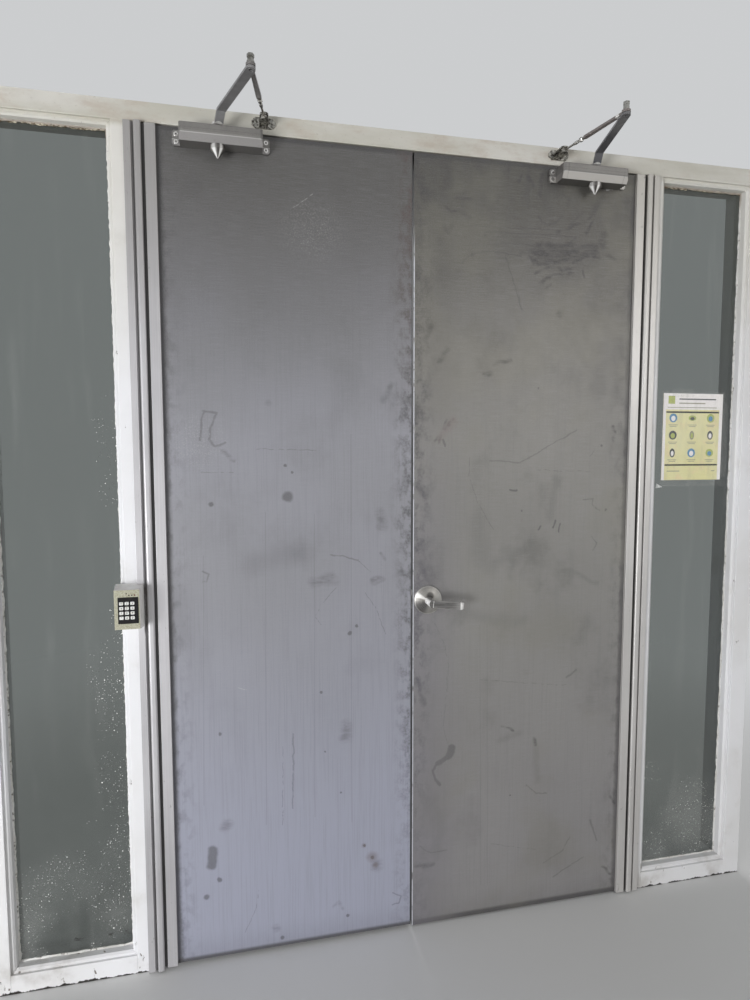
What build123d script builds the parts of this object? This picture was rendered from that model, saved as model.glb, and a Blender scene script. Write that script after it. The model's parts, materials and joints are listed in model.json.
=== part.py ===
"""Pair of steel door leaves with a glazed sidelight on each side.

Millimetres, +Z up. The origin is the centre of the head's top face, above the
line where the two leaves meet. The leaves open towards -Y. "Outward" is -Y.
"""

import os
from math import asin, atan2, cos, degrees, hypot, radians, sin, tan

from build123d import *

os.makedirs("parts", exist_ok=True)

SIDES = (("left", -1), ("right", 1))

# Painted timber frame
frame_height = 2335
frame_depth = 115
head_height = 49
bottom_rail_height = 52
post_width = {"left": 62.5, "right": 50}
sidelight_width = 320
stile_width = 60
eased_edge = 2

# Steel leaves
leaf_width = {"left": 720.5, "right": 735}
leaf_thickness = 44.5
leaf_bottom_gap = {"left": 10, "right": 5}
leaf_top_gap = 5
meeting_gap = 5
hinge_gap = 5
edge_bevel = 3
skin_thickness = 1.5
top_channel_depth = 6

# Stops behind the leaves
stop_thickness = 14
stop_depth = 38
stop_gap = 3
stop_joint = 0.5

# Sidelight glazing
bead_width = 12
bead_depth = 26
bead_recess = 8
bead_bevel = 5
bead_joint = 0.4
glass_thickness = 6
glass_edge_gap = 2

# Full-height geared hinge, in section: u towards the leaf, w outwards from the face
gear_teeth = 12
gear_pitch_radius = 3.5
tooth_addendum = 0.42
tooth_dedendum = 0.55
tooth_root_share = 0.63
tooth_tip_share = 0.21
gear_height = 9.3
plate_thickness = 3
cover_height = 9.5
frame_cover_width = 18
leaf_cover_width = 27
frame_cover_gap = 7
leaf_cover_gap = 7.4
cover_edge = 1
cap_bore_clearance = 0.28
cap_wall = 1.6
cap_lip_drop = 1.1
neck_width = 2.6
neck_start = 2.2
hinge_bottom = {"frame": 3, "cap": 6}
hinge_top_gap = 3

# Surface closers
closer_length = 207
closer_drop = 9
closer_height = 41
closer_projection = 57
closer_shoulder = 20
closer_slant = 12
closer_top_edge = 3
closer_end_edge = 6
end_cap_length = 14
end_cap_joint = 0.8
spindle_from_hinge = 197
spindle_from_middle = 10
spindle_projection = 30
collar_radius = 12
collar_height = 8
tab_length = 20
tab_thickness = 8
tab_height = 38
tab_corner = 5
tab_notch_radius = 2.5
cone_radius = 19
cone_sides = 24
cone_collar = 11
cone_height = 20
cone_tip_radius = 1.5

# Closer arms
arm_rise = 30
arm_thickness = 6
joggle_start = 14
joggle_run = 20
main_arm_length = 234
main_arm_width = 22
main_arm_lean = {"left": 19.9, "right": 13.6}
hub_radius = 13
hub_nut_radius = 8
hub_nut_height = 4
arm_gap = 1.5
running_gap = 0.3
forearm_width = 13
forearm_end_width = 9
forearm_eye_radius = 11
forearm_share = {"left": 0.58, "right": 0.63}
rod_radius = 2.8
rod_eye_radius = 8
elbow_pin_radius = 4
elbow_nut_radius = 8.5
elbow_nut_height = 7
elbow_neck_radius = 7.2
elbow_neck_height = 6
elbow_cap_height = 7
elbow_clearance = 0.3
shoe_from_hinge = {"left": 315.5, "right": 301}
shoe_width = 62
shoe_height = 27
shoe_corner = 9
shoe_thickness = 4
shoe_projection = 35
shoe_ear_thickness = 5
shoe_ear_width = 22
shoe_pin_radius = 4

# Lever handles
lever_from_edge = 45.5
lever_height = 1015
rose_radius = 42
rose_height = 13
rose_edge = 3
rose_shoulder_radius = 26
neck_radius = 12
lever_projection = 60
lever_bar_height = 22
lever_bar_thickness = 8
lever_reach = 92
lever_droop = 7
lever_return = 16
lever_return_radius = 12
lever_bar_corner = 2

# Latch and strike plates, let into the meeting edges
latch_plate_height = 57
latch_plate_width = 28
strike_plate_height = 124
strike_plate_width = 32
edge_plate_thickness = 2
plate_corner = 3
latch_bolt_height = 18
latch_bolt_width = 13

# Keypad on the left post
keypad_width = 72
keypad_height = 113
keypad_depth = 58
keypad_taper = 5
keypad_from_hinge = 16.5
keypad_middle_height = 1046
panel_width = 50
panel_height = 69
panel_thickness = 1.2
panel_drop = 2
panel_shift = 3
key_columns = 3
key_rows = 4
key_pitch_x = 13.6
key_pitch_z = 12.6
key_width = 9.6
key_height = 8
panel_corner = 1.5
key_corner = 1
key_travel_height = 2

# Notice sheet on the outside of the right pane
notice_width = 221
notice_height = 279
notice_thickness = 0.8
notice_middle = 954
notice_middle_height = 1497

# Derived planes and lines
floor_z = -frame_height
face_y = -frame_depth / 2
back_y = frame_depth / 2
head_bottom_z = -head_height
leaf_top_z = head_bottom_z - leaf_top_gap
hinge_x = {side: meeting_gap / 2 + leaf_width[side] + hinge_gap / 2 for side, _ in SIDES}
post_inner = {side: hinge_x[side] + hinge_gap / 2 for side, _ in SIDES}
post_outer = {side: post_inner[side] + post_width[side] for side, _ in SIDES}
light_outer = {side: post_outer[side] + sidelight_width for side, _ in SIDES}
frame_outer = {side: light_outer[side] + stile_width for side, _ in SIDES}
rail_top_z = floor_z + bottom_rail_height
glass_y = face_y + bead_recess + bead_depth
gear_tip_radius = gear_pitch_radius + tooth_addendum
gear_root_radius = gear_pitch_radius - tooth_dedendum
cap_bore_radius = gear_tip_radius + cap_bore_clearance
cap_width = 2 * (gear_pitch_radius + cap_bore_radius + cap_wall)
closer_top_z = leaf_top_z - closer_drop
closer_bottom_z = closer_top_z - closer_height
arm_z = closer_top_z + arm_rise
forearm_z = arm_z + arm_thickness + arm_gap


def write(builder, name):
    """Label one finished piece and write its STEP file."""
    builder.part.label = name
    export_step(builder.part, f"parts/{name}.step")


def block(x_span, y_span, z_span):
    """Box between two values along each axis, added to the part being built."""
    middle = [(low + high) / 2 for low, high in (x_span, y_span, z_span)]
    size = [abs(high - low) for low, high in (x_span, y_span, z_span)]
    with Locations(tuple(middle)):
        Box(*size)


def ordered(first, second):
    return (min(first, second), max(first, second))


def side_plane(sign, x, z):
    """Section plane on one side: local x towards the meeting line, local y outwards."""
    return Plane(origin=(sign * x, face_y, z), x_dir=(-sign, 0, 0), z_dir=(0, 0, sign))


def leaf_z_span(side):
    return floor_z + leaf_bottom_gap[side], leaf_top_z


# Frame

with BuildPart() as head_rail:
    block((-frame_outer["left"], frame_outer["right"]), (face_y, back_y), (head_bottom_z, 0))
    fillet(head_rail.edges().filter_by(Axis.X).group_by(Axis.Z)[0], eased_edge)
write(head_rail, "head_rail")

for side, sign in SIDES:
    with BuildPart() as post:
        block(
            ordered(sign * post_inner[side], sign * post_outer[side]),
            (face_y, back_y),
            (floor_z, head_bottom_z),
        )
        fillet(post.edges().filter_by(Axis.Z), eased_edge)
    write(post, f"{side}_mullion_post")

    with BuildPart() as stile:
        block(
            ordered(sign * light_outer[side], sign * frame_outer[side]),
            (face_y, back_y),
            (floor_z, head_bottom_z),
        )
        fillet(stile.edges().filter_by(Axis.Z), eased_edge)
    write(stile, f"{side}_outer_stile")

    with BuildPart() as rail:
        block(
            ordered(sign * post_outer[side], sign * light_outer[side]),
            (face_y, back_y),
            (floor_z, rail_top_z),
        )
        fillet(rail.edges().filter_by(Axis.X).group_by(Axis.Z)[-1], eased_edge)
    write(rail, f"{side}_bottom_rail")

stop_y = (face_y + leaf_thickness + stop_gap, face_y + leaf_thickness + stop_gap + stop_depth)
with BuildPart() as door_stops:
    for side, sign in SIDES:
        block(
            ordered(sign * post_inner[side], sign * (post_inner[side] - stop_thickness)),
            stop_y,
            (floor_z, head_bottom_z - stop_thickness - stop_joint),
        )
    block(
        (-post_inner["left"], post_inner["right"]),
        stop_y,
        (head_bottom_z - stop_thickness, head_bottom_z),
    )
write(door_stops, "door_stops")


# Glazing: four mitred beads each side of the pane

def bead_outlines(x_low, x_high, z_low, z_high):
    """Face outlines of the four beads round an opening, cut square at 45 degrees."""
    g = bead_joint
    left, right = x_low + bead_width, x_high - bead_width
    low, high = z_low + bead_width, z_high - bead_width
    return (
        ((x_low, z_low + g), (left, low + g), (left, high - g), (x_low, z_high - g)),
        ((x_high, z_low + g), (right, low + g), (right, high - g), (x_high, z_high - g)),
        ((x_low + g, z_low), (x_high - g, z_low), (right - g, low), (left + g, low)),
        ((x_low + g, z_high), (x_high - g, z_high), (right - g, high), (left + g, high)),
    )


for side, sign in SIDES:
    x_low, x_high = ordered(sign * post_outer[side], sign * light_outer[side])
    for name, near_y, away in (("front", glass_y, -1), ("back", glass_y + glass_thickness, 1)):
        with BuildPart() as beads:
            with BuildSketch(Plane.XZ.offset(-near_y)):
                for outline in bead_outlines(x_low, x_high, rail_top_z, head_bottom_z):
                    with BuildLine():
                        Polyline(*outline, close=True)
                    make_face()
            extrude(amount=-away * bead_depth)
            shown_face = beads.faces().filter_by(Axis.Y).group_by(Axis.Y)[0 if away < 0 else -1]
            pane_edges = shown_face.edges().filter_by(
                lambda e: x_low + bead_width * 0.75 < e.center().X < x_high - bead_width * 0.75
                and rail_top_z + bead_width * 0.75 < e.center().Z < head_bottom_z - bead_width * 0.75
            )
            chamfer(pane_edges, bead_bevel)
        write(beads, f"{side}_{name}_beads")

    with BuildPart() as pane:
        block(
            (x_low + glass_edge_gap, x_high - glass_edge_gap),
            (glass_y, glass_y + glass_thickness),
            (rail_top_z + glass_edge_gap, head_bottom_z - glass_edge_gap),
        )
    write(pane, f"{side}_glass")


# Steel leaves, with the latch and strike plates let into their meeting edges

lever_x = meeting_gap / 2 + lever_from_edge
lever_z = floor_z + lever_height
edge_tilt = degrees(asin(edge_bevel / hypot(edge_bevel, leaf_thickness)))


def edge_plane(sign):
    """Plane on a leaf's bevelled meeting edge at the lever's height, facing the other leaf."""
    edge_middle = Vector(sign * (meeting_gap + edge_bevel) / 2, face_y + leaf_thickness / 2, lever_z)
    tilt = radians(edge_tilt)
    return Plane(
        origin=edge_middle,
        x_dir=(sign * sin(tilt), cos(tilt), 0),
        z_dir=(-sign * cos(tilt), sin(tilt), 0),
    )


edge_plates = {
    "left": ("strike_plate", strike_plate_width, strike_plate_height),
    "right": ("latch_plate", latch_plate_width, latch_plate_height),
}

for side, sign in SIDES:
    low_z, high_z = leaf_z_span(side)
    width = leaf_width[side]
    plate_name, plate_width, plate_height = edge_plates[side]
    with BuildPart() as leaf:
        with BuildSketch(side_plane(sign, hinge_x[side] - hinge_gap / 2, low_z)):
            with BuildLine():
                Polyline(
                    (0, 0),
                    (width, 0),
                    (width - edge_bevel, -leaf_thickness),
                    (0, -leaf_thickness),
                    close=True,
                )
            make_face()
        extrude(amount=high_z - low_z, dir=(0, 0, 1))
        with BuildSketch(side_plane(sign, hinge_x[side] - hinge_gap / 2, high_z)):
            with Locations((width / 2, -leaf_thickness / 2)):
                Rectangle(width - 2 * edge_bevel - 2 * skin_thickness, leaf_thickness - 2 * skin_thickness)
        extrude(amount=top_channel_depth, dir=(0, 0, -1), mode=Mode.SUBTRACT)
        with BuildSketch(edge_plane(sign)):
            RectangleRounded(plate_width, plate_height, plate_corner)
        extrude(amount=-edge_plate_thickness, mode=Mode.SUBTRACT)
    write(leaf, f"{side}_leaf")

    with BuildPart() as edge_plate:
        with BuildSketch(edge_plane(sign)):
            RectangleRounded(plate_width, plate_height, plate_corner)
            Rectangle(latch_bolt_width, latch_bolt_height, mode=Mode.SUBTRACT)
        extrude(amount=-edge_plate_thickness)
    write(edge_plate, plate_name)


# Hinges

def gear_outline(centre_u, first_tooth):
    """Outline of one toothed knuckle; the first tooth points at that angle from +u."""
    pitch_angle = 360 / gear_teeth
    root_half = pitch_angle * tooth_root_share / 2
    tip_half = pitch_angle * tooth_tip_share / 2
    corners = (
        (gear_root_radius, -root_half),
        (gear_tip_radius, -tip_half),
        (gear_tip_radius, tip_half),
        (gear_root_radius, root_half),
    )
    points = []
    for tooth in range(gear_teeth):
        for radius, turn in corners:
            angle = radians(first_tooth + tooth * pitch_angle + turn)
            points.append((centre_u + radius * cos(angle), gear_height + radius * sin(angle)))
    return points


def hinge_leaf_outline(cover_gap, cover_width):
    """Section of one hinge leaf: cover, plate and neck, up to the gear's centre line."""
    cover_start = cap_width / 2 + cover_gap
    cover_end = cover_start + cover_width
    return (
        (neck_start, 0),
        (cover_end, 0),
        (cover_end, cover_height),
        (cover_start, cover_height),
        (cover_start, plate_thickness),
        (neck_start + neck_width, plate_thickness),
        (neck_start + neck_width, gear_height),
        (neck_start, gear_height),
    )


for side, sign in SIDES:
    leaf_low_z, leaf_high_z = leaf_z_span(side)
    spans = {
        "frame": (floor_z + hinge_bottom["frame"], head_bottom_z - hinge_top_gap, -1, 0),
        "leaf": (leaf_low_z, leaf_high_z, 1, 180 / gear_teeth),
    }
    covers = {"frame": (frame_cover_gap, frame_cover_width), "leaf": (leaf_cover_gap, leaf_cover_width)}
    for which, (low_z, high_z, towards, first_tooth) in spans.items():
        outline = [(towards * u, w) for u, w in hinge_leaf_outline(*covers[which])]
        with BuildPart() as hinge_leaf:
            with BuildSketch(side_plane(sign, hinge_x[side], low_z)) as section:
                with BuildLine():
                    Polyline(*outline, close=True)
                make_face()
                fillet(section.vertices().group_by(Axis.Y)[-1], cover_edge)
                with BuildLine():
                    Polyline(*gear_outline(towards * gear_pitch_radius, first_tooth), close=True)
                make_face()
            extrude(amount=high_z - low_z, dir=(0, 0, 1))
        write(hinge_leaf, f"{side}_hinge_{which}_plate")

    cap_low_z = floor_z + hinge_bottom["cap"]
    with BuildPart() as cap:
        with BuildSketch(side_plane(sign, hinge_x[side], cap_low_z)):
            with Locations((0, gear_height)):
                SlotCenterToCenter(2 * gear_pitch_radius, cap_width - 2 * gear_pitch_radius)
                SlotCenterToCenter(2 * gear_pitch_radius, 2 * cap_bore_radius, mode=Mode.SUBTRACT)
            with Locations((0, gear_height - cap_lip_drop)):
                Rectangle(cap_width, gear_height, align=(Align.CENTER, Align.MAX), mode=Mode.SUBTRACT)
        extrude(amount=head_bottom_z - hinge_top_gap - cap_low_z, dir=(0, 0, 1))
    write(cap, f"{side}_hinge_cap")


# Closers

spindle_y = face_y - spindle_projection
spindle_x = {side: hinge_x[side] - spindle_from_hinge for side, _ in SIDES}
closer_middle = {side: spindle_x[side] - spindle_from_middle for side, _ in SIDES}


def closer_section(x):
    """Section plane across a closer's body: local x outwards from the leaf, local y up."""
    return Plane(origin=(x, face_y, closer_bottom_z), x_dir=(0, -1, 0), z_dir=(-1, 0, 0))


closer_outline = (
    (tab_thickness, 0),
    (closer_projection - closer_slant, 0),
    (closer_projection, closer_height - closer_shoulder),
    (closer_projection, closer_height),
    (tab_thickness, closer_height),
)

for side, sign in SIDES:
    middle_x = sign * closer_middle[side]
    body_x = (middle_x - closer_length / 2, middle_x + closer_length / 2)
    plate_middle_z = closer_bottom_z + closer_height / 2
    with BuildPart() as plate:
        plate_plane = Plane(origin=(middle_x, face_y, plate_middle_z), x_dir=(1, 0, 0), z_dir=(0, -1, 0))
        with BuildSketch(plate_plane) as outline:
            Rectangle(closer_length + 2 * tab_length, tab_height)
            chamfer(outline.vertices(), tab_corner)
            with GridLocations(closer_length + 2 * tab_length, 0, 2, 1):
                RegularPolygon(tab_notch_radius, 4, mode=Mode.SUBTRACT)
        extrude(amount=tab_thickness)
    write(plate, f"{side}_closer_plate")

    with BuildPart() as body:
        with BuildSketch(closer_section(body_x[0])):
            with BuildLine():
                Polyline(*closer_outline, close=True)
            make_face()
        extrude(amount=-closer_length)
        chamfer(body.faces().group_by(Axis.Y)[0].edges().filter_by(Axis.Z), closer_end_edge)
        fillet(body.faces().group_by(Axis.Z)[-1].edges().group_by(Axis.Y)[0], closer_top_edge)
        for joint_x in (body_x[0] + end_cap_length + end_cap_joint, body_x[1] - end_cap_length):
            with BuildSketch(closer_section(joint_x)):
                with BuildLine():
                    Polyline(*closer_outline, close=True)
                make_face()
                offset(amount=-end_cap_joint, mode=Mode.SUBTRACT)
            extrude(amount=end_cap_joint, mode=Mode.SUBTRACT)
        with Locations((sign * spindle_x[side], spindle_y, closer_top_z)):
            Cylinder(collar_radius, collar_height, align=(Align.CENTER, Align.CENTER, Align.MIN))
    write(body, f"{side}_closer_body")

    with BuildPart() as cone:
        cone_top = (sign * spindle_x[side], spindle_y, closer_bottom_z)
        with BuildSketch(Plane(origin=cone_top, z_dir=(0, 0, -1))):
            RegularPolygon(cone_radius, cone_sides)
        extrude(amount=cone_collar + cone_height)
        cone_end = cone.faces().sort_by(Axis.Z)[0]
        chamfer(cone_end.edges(), cone_radius - cone_tip_radius, cone_height, reference=cone_end)
    write(cone, f"{side}_closer_spindle_cap")


# Closer arms

shoe_x = {side: hinge_x[side] - shoe_from_hinge[side] for side, _ in SIDES}
shoe_y = face_y - shoe_projection
hub_low_z = closer_top_z + collar_height + running_gap
arm_lift = arm_z - hub_low_z
joggle_lap = arm_thickness * tan(atan2(arm_lift, joggle_run) / 2)

for side, sign in SIDES:
    lean = radians(main_arm_lean[side])
    arm_x_dir = Vector(-sign * sin(lean), -cos(lean), 0)
    hub = Vector(sign * spindle_x[side], spindle_y, hub_low_z)
    elbow = hub + arm_x_dir * main_arm_length
    arm_side_dir = arm_x_dir.cross(Vector(0, 0, 1))
    far_end = main_arm_length + hub_radius
    with BuildPart() as main_arm:
        with BuildSketch(Plane(origin=hub, x_dir=arm_x_dir, z_dir=(0, 0, 1))):
            with Locations((main_arm_length / 2, 0)):
                SlotCenterToCenter(main_arm_length, main_arm_width)
            Circle(hub_radius)
            with Locations((main_arm_length, 0)):
                Circle(elbow_pin_radius + elbow_clearance, mode=Mode.SUBTRACT)
        extrude(amount=arm_lift + arm_thickness)
        with BuildSketch(Plane(origin=hub, x_dir=arm_x_dir, z_dir=arm_side_dir)):
            with BuildLine():
                Polyline(
                    (-hub_radius, 0),
                    (joggle_start, 0),
                    (joggle_start + joggle_run, arm_lift),
                    (far_end, arm_lift),
                    (far_end, arm_lift + arm_thickness),
                    (joggle_start + joggle_run - joggle_lap, arm_lift + arm_thickness),
                    (joggle_start - joggle_lap, arm_thickness),
                    (-hub_radius, arm_thickness),
                    close=True,
                )
            make_face()
        extrude(amount=hub_radius, both=True, mode=Mode.INTERSECT)
        with BuildSketch(Plane(origin=hub + Vector(0, 0, arm_thickness), x_dir=arm_x_dir, z_dir=(0, 0, 1))):
            RegularPolygon(hub_nut_radius, 6)
        extrude(amount=hub_nut_height)
    write(main_arm, f"{side}_main_arm")

    shoe_pin = Vector(sign * shoe_x[side], shoe_y, forearm_z)
    elbow_top = Vector(elbow.X, elbow.Y, forearm_z)
    reach = shoe_pin - elbow_top
    bar_length = reach.length * forearm_share[side]
    with BuildPart() as forearm:
        with BuildSketch(Plane(origin=elbow_top, x_dir=reach, z_dir=(0, 0, 1))):
            with BuildLine():
                Polyline(
                    (0, -forearm_end_width / 2),
                    (bar_length, -forearm_width / 2),
                    (bar_length + forearm_width / 2, -rod_radius),
                    (bar_length + forearm_width / 2, rod_radius),
                    (bar_length, forearm_width / 2),
                    (0, forearm_end_width / 2),
                    close=True,
                )
            make_face()
            Circle(forearm_eye_radius)
            with Locations((reach.length, 0)):
                Circle(rod_eye_radius)
        extrude(amount=arm_thickness)
        rod_start = elbow_top + reach.normalized() * bar_length + Vector(0, 0, arm_thickness / 2)
        with BuildSketch(Plane(origin=rod_start, z_dir=reach)):
            Circle(rod_radius)
        extrude(amount=reach.length - bar_length)
        with Locations(shoe_pin):
            Cylinder(shoe_pin_radius + running_gap, arm_thickness * 4, mode=Mode.SUBTRACT)
    write(forearm, f"{side}_forearm")

    nut_low_z = forearm_z + arm_thickness
    neck_low_z = nut_low_z + elbow_nut_height
    cap_low_z = neck_low_z + elbow_neck_height
    with BuildPart() as elbow_pin:
        for low_z, height in ((nut_low_z, elbow_nut_height), (cap_low_z, elbow_cap_height)):
            with BuildSketch(Plane.XY.offset(low_z)):
                with Locations((elbow.X, elbow.Y)):
                    RegularPolygon(elbow_nut_radius, 6)
            extrude(amount=height)
        with Locations((elbow.X, elbow.Y, neck_low_z)):
            Cylinder(elbow_neck_radius, elbow_neck_height, align=(Align.CENTER, Align.CENTER, Align.MIN))
    write(elbow_pin, f"{side}_elbow_pin")

    ear_gap = arm_thickness + 2 * running_gap
    with BuildPart() as shoe:
        shoe_middle = (sign * shoe_x[side], face_y, forearm_z + arm_thickness / 2)
        with BuildSketch(Plane(origin=shoe_middle, x_dir=(1, 0, 0), z_dir=(0, -1, 0))) as outline:
            Rectangle(shoe_width, shoe_height)
            chamfer(outline.vertices(), shoe_corner)
        extrude(amount=shoe_thickness)
        for ear_z in (forearm_z - running_gap - shoe_ear_thickness, forearm_z + arm_thickness + running_gap):
            with BuildSketch(Plane.XY.offset(ear_z)):
                with Locations((shoe_pin.X, shoe_pin.Y)):
                    Circle(shoe_ear_width / 2)
                with Locations((shoe_pin.X, (shoe_pin.Y + face_y) / 2)):
                    Rectangle(shoe_ear_width, face_y - shoe_pin.Y)
            extrude(amount=shoe_ear_thickness)
        with Locations((shoe_pin.X, shoe_pin.Y, forearm_z + arm_thickness / 2)):
            Cylinder(shoe_pin_radius, ear_gap)
    write(shoe, f"{side}_closer_shoe")


# Lever handles on the right leaf

bar_direction = Vector(cos(radians(lever_droop)), 0, -sin(radians(lever_droop)))

for name, wall_y, out in (("outer", face_y, -1), ("inner", face_y + leaf_thickness, 1)):
    with BuildPart() as rose:
        with BuildSketch(Plane(origin=(lever_x, wall_y, lever_z), x_dir=(1, 0, 0), z_dir=(0, 0, out))):
            with BuildLine():
                Polyline(
                    (neck_radius + running_gap, 0),
                    (rose_radius, 0),
                    (rose_radius, rose_edge),
                    (rose_shoulder_radius, rose_height),
                    (neck_radius + running_gap, rose_height),
                    close=True,
                )
            make_face()
        revolve(axis=Axis((lever_x, wall_y, lever_z), (0, 1, 0)))
    write(rose, f"{name}_rose")

    bar_start = Vector(lever_x, wall_y + out * (lever_projection - lever_bar_thickness / 2), lever_z)
    bar_end = bar_start + bar_direction * lever_reach
    with BuildPart() as lever:
        with BuildSketch(Plane(origin=(lever_x, wall_y, lever_z), x_dir=(1, 0, 0), z_dir=(0, out, 0))):
            Circle(neck_radius)
        extrude(amount=lever_projection - lever_bar_thickness / 2)
        with BuildLine():
            FilletPolyline(
                bar_start,
                bar_end,
                bar_end - Vector(0, out * lever_return, 0),
                radius=lever_return_radius,
            )
        with BuildSketch(Plane(origin=bar_start, x_dir=(0, 1, 0), z_dir=bar_direction)) as section:
            Rectangle(lever_bar_thickness, lever_bar_height)
            chamfer(section.vertices(), lever_bar_corner)
        sweep()
    write(lever, f"{name}_lever")


# Keypad on the left post

keypad_x = -(hinge_x["left"] + keypad_from_hinge + keypad_width / 2)
keypad_z = floor_z + keypad_middle_height
keypad_front_y = face_y - keypad_depth


def keypad_plane(y):
    return Plane(origin=(keypad_x, y, keypad_z), x_dir=(1, 0, 0), z_dir=(0, -1, 0))


with BuildPart() as keypad_case:
    with BuildSketch(keypad_plane(face_y)):
        Rectangle(keypad_width, keypad_height)
    with BuildSketch(keypad_plane(keypad_front_y)):
        Rectangle(keypad_width - 2 * keypad_taper, keypad_height - 2 * keypad_taper)
    loft()
    cover_start = hinge_x["left"] + cap_width / 2 + frame_cover_gap
    with BuildSketch(Plane.XY.offset(keypad_z - keypad_height)):
        with Locations((-cover_start, face_y)):
            Rectangle(
                2 * (frame_cover_width + running_gap),
                2 * (cover_height + running_gap),
            )
    extrude(amount=2 * keypad_height, mode=Mode.SUBTRACT)
write(keypad_case, "keypad_case")

with BuildPart() as keypad_panel:
    with BuildSketch(keypad_plane(keypad_front_y)):
        with Locations((panel_shift, -panel_drop)):
            RectangleRounded(panel_width, panel_height, panel_corner)
    extrude(amount=panel_thickness)
write(keypad_panel, "keypad_panel")

with BuildPart() as keypad_keys:
    with BuildSketch(keypad_plane(keypad_front_y - panel_thickness)) as key_outlines:
        with Locations((0, -panel_drop)):
            with GridLocations(key_pitch_x, key_pitch_z, key_columns, key_rows):
                Rectangle(key_width, key_height)
        chamfer(key_outlines.vertices(), key_corner)
    extrude(amount=key_travel_height)
write(keypad_keys, "keypad_keys")


# Notice sheet on the right pane

with BuildPart() as notice:
    block(
        (notice_middle - notice_width / 2, notice_middle + notice_width / 2),
        (glass_y - notice_thickness, glass_y),
        (
            floor_z + notice_middle_height - notice_height / 2,
            floor_z + notice_middle_height + notice_height / 2,
        ),
    )
write(notice, "notice_sheet")
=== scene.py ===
"""Finishes and small parts of the steel double door with sidelights.

Metres, in the frame of the solids: the origin is the centre of the head's top face,
+X to the right and -Y towards the side that the leaves open to.
"""

import json
import math

import bmesh
import bpy
from mathutils import Euler, Matrix, Vector


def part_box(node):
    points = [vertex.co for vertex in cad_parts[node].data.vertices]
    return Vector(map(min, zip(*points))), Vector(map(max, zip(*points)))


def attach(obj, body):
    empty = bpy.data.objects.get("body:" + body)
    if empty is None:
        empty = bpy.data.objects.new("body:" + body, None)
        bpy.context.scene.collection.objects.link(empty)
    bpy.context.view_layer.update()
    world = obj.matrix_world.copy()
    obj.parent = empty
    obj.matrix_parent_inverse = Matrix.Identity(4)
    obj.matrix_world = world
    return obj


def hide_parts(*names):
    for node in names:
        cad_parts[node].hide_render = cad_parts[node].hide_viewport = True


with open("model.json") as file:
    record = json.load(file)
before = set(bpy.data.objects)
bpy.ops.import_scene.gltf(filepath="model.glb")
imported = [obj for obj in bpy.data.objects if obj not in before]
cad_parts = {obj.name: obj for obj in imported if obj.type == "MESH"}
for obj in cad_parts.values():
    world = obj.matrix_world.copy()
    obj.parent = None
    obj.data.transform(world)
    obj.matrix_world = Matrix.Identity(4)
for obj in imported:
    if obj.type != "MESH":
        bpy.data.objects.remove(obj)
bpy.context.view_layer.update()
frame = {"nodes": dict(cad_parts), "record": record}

SIDES = (("left", -1), ("right", 1))
MM = 0.001

# Planes that the solids give
floor_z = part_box("left_mullion_post")[0].z
face_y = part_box("head_rail")[0].y
glass_front_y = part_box("left_glass")[0].y


def srgb(red, green, blue):
    """A colour given as 0 to 255 on a screen, as the linear values that a shader takes."""
    def linear(value):
        value /= 255
        return value / 12.92 if value <= 0.04045 else ((value + 0.055) / 1.055) ** 2.4
    return (linear(red), linear(green), linear(blue), 1.0)


class Nodes:
    """Short calls that build a node tree."""

    def add(self, kind, settings=None, **inputs):
        node = self.tree.nodes.new(kind)
        for name, value in (settings or {}).items():
            setattr(node, name, value)
        for name, value in inputs.items():
            self.feed(node.inputs[name.replace("_", " ")], value)
        return node

    def feed(self, socket, value):
        if isinstance(value, bpy.types.NodeSocket):
            self.tree.links.new(value, socket)
        else:
            socket.default_value = value

    def math(self, operation, first, second=0.0, clamp=False):
        node = self.add("ShaderNodeMath", {"operation": operation, "use_clamp": clamp})
        self.feed(node.inputs[0], first)
        self.feed(node.inputs[1], second)
        return node.outputs[0]


# Finishes

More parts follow.
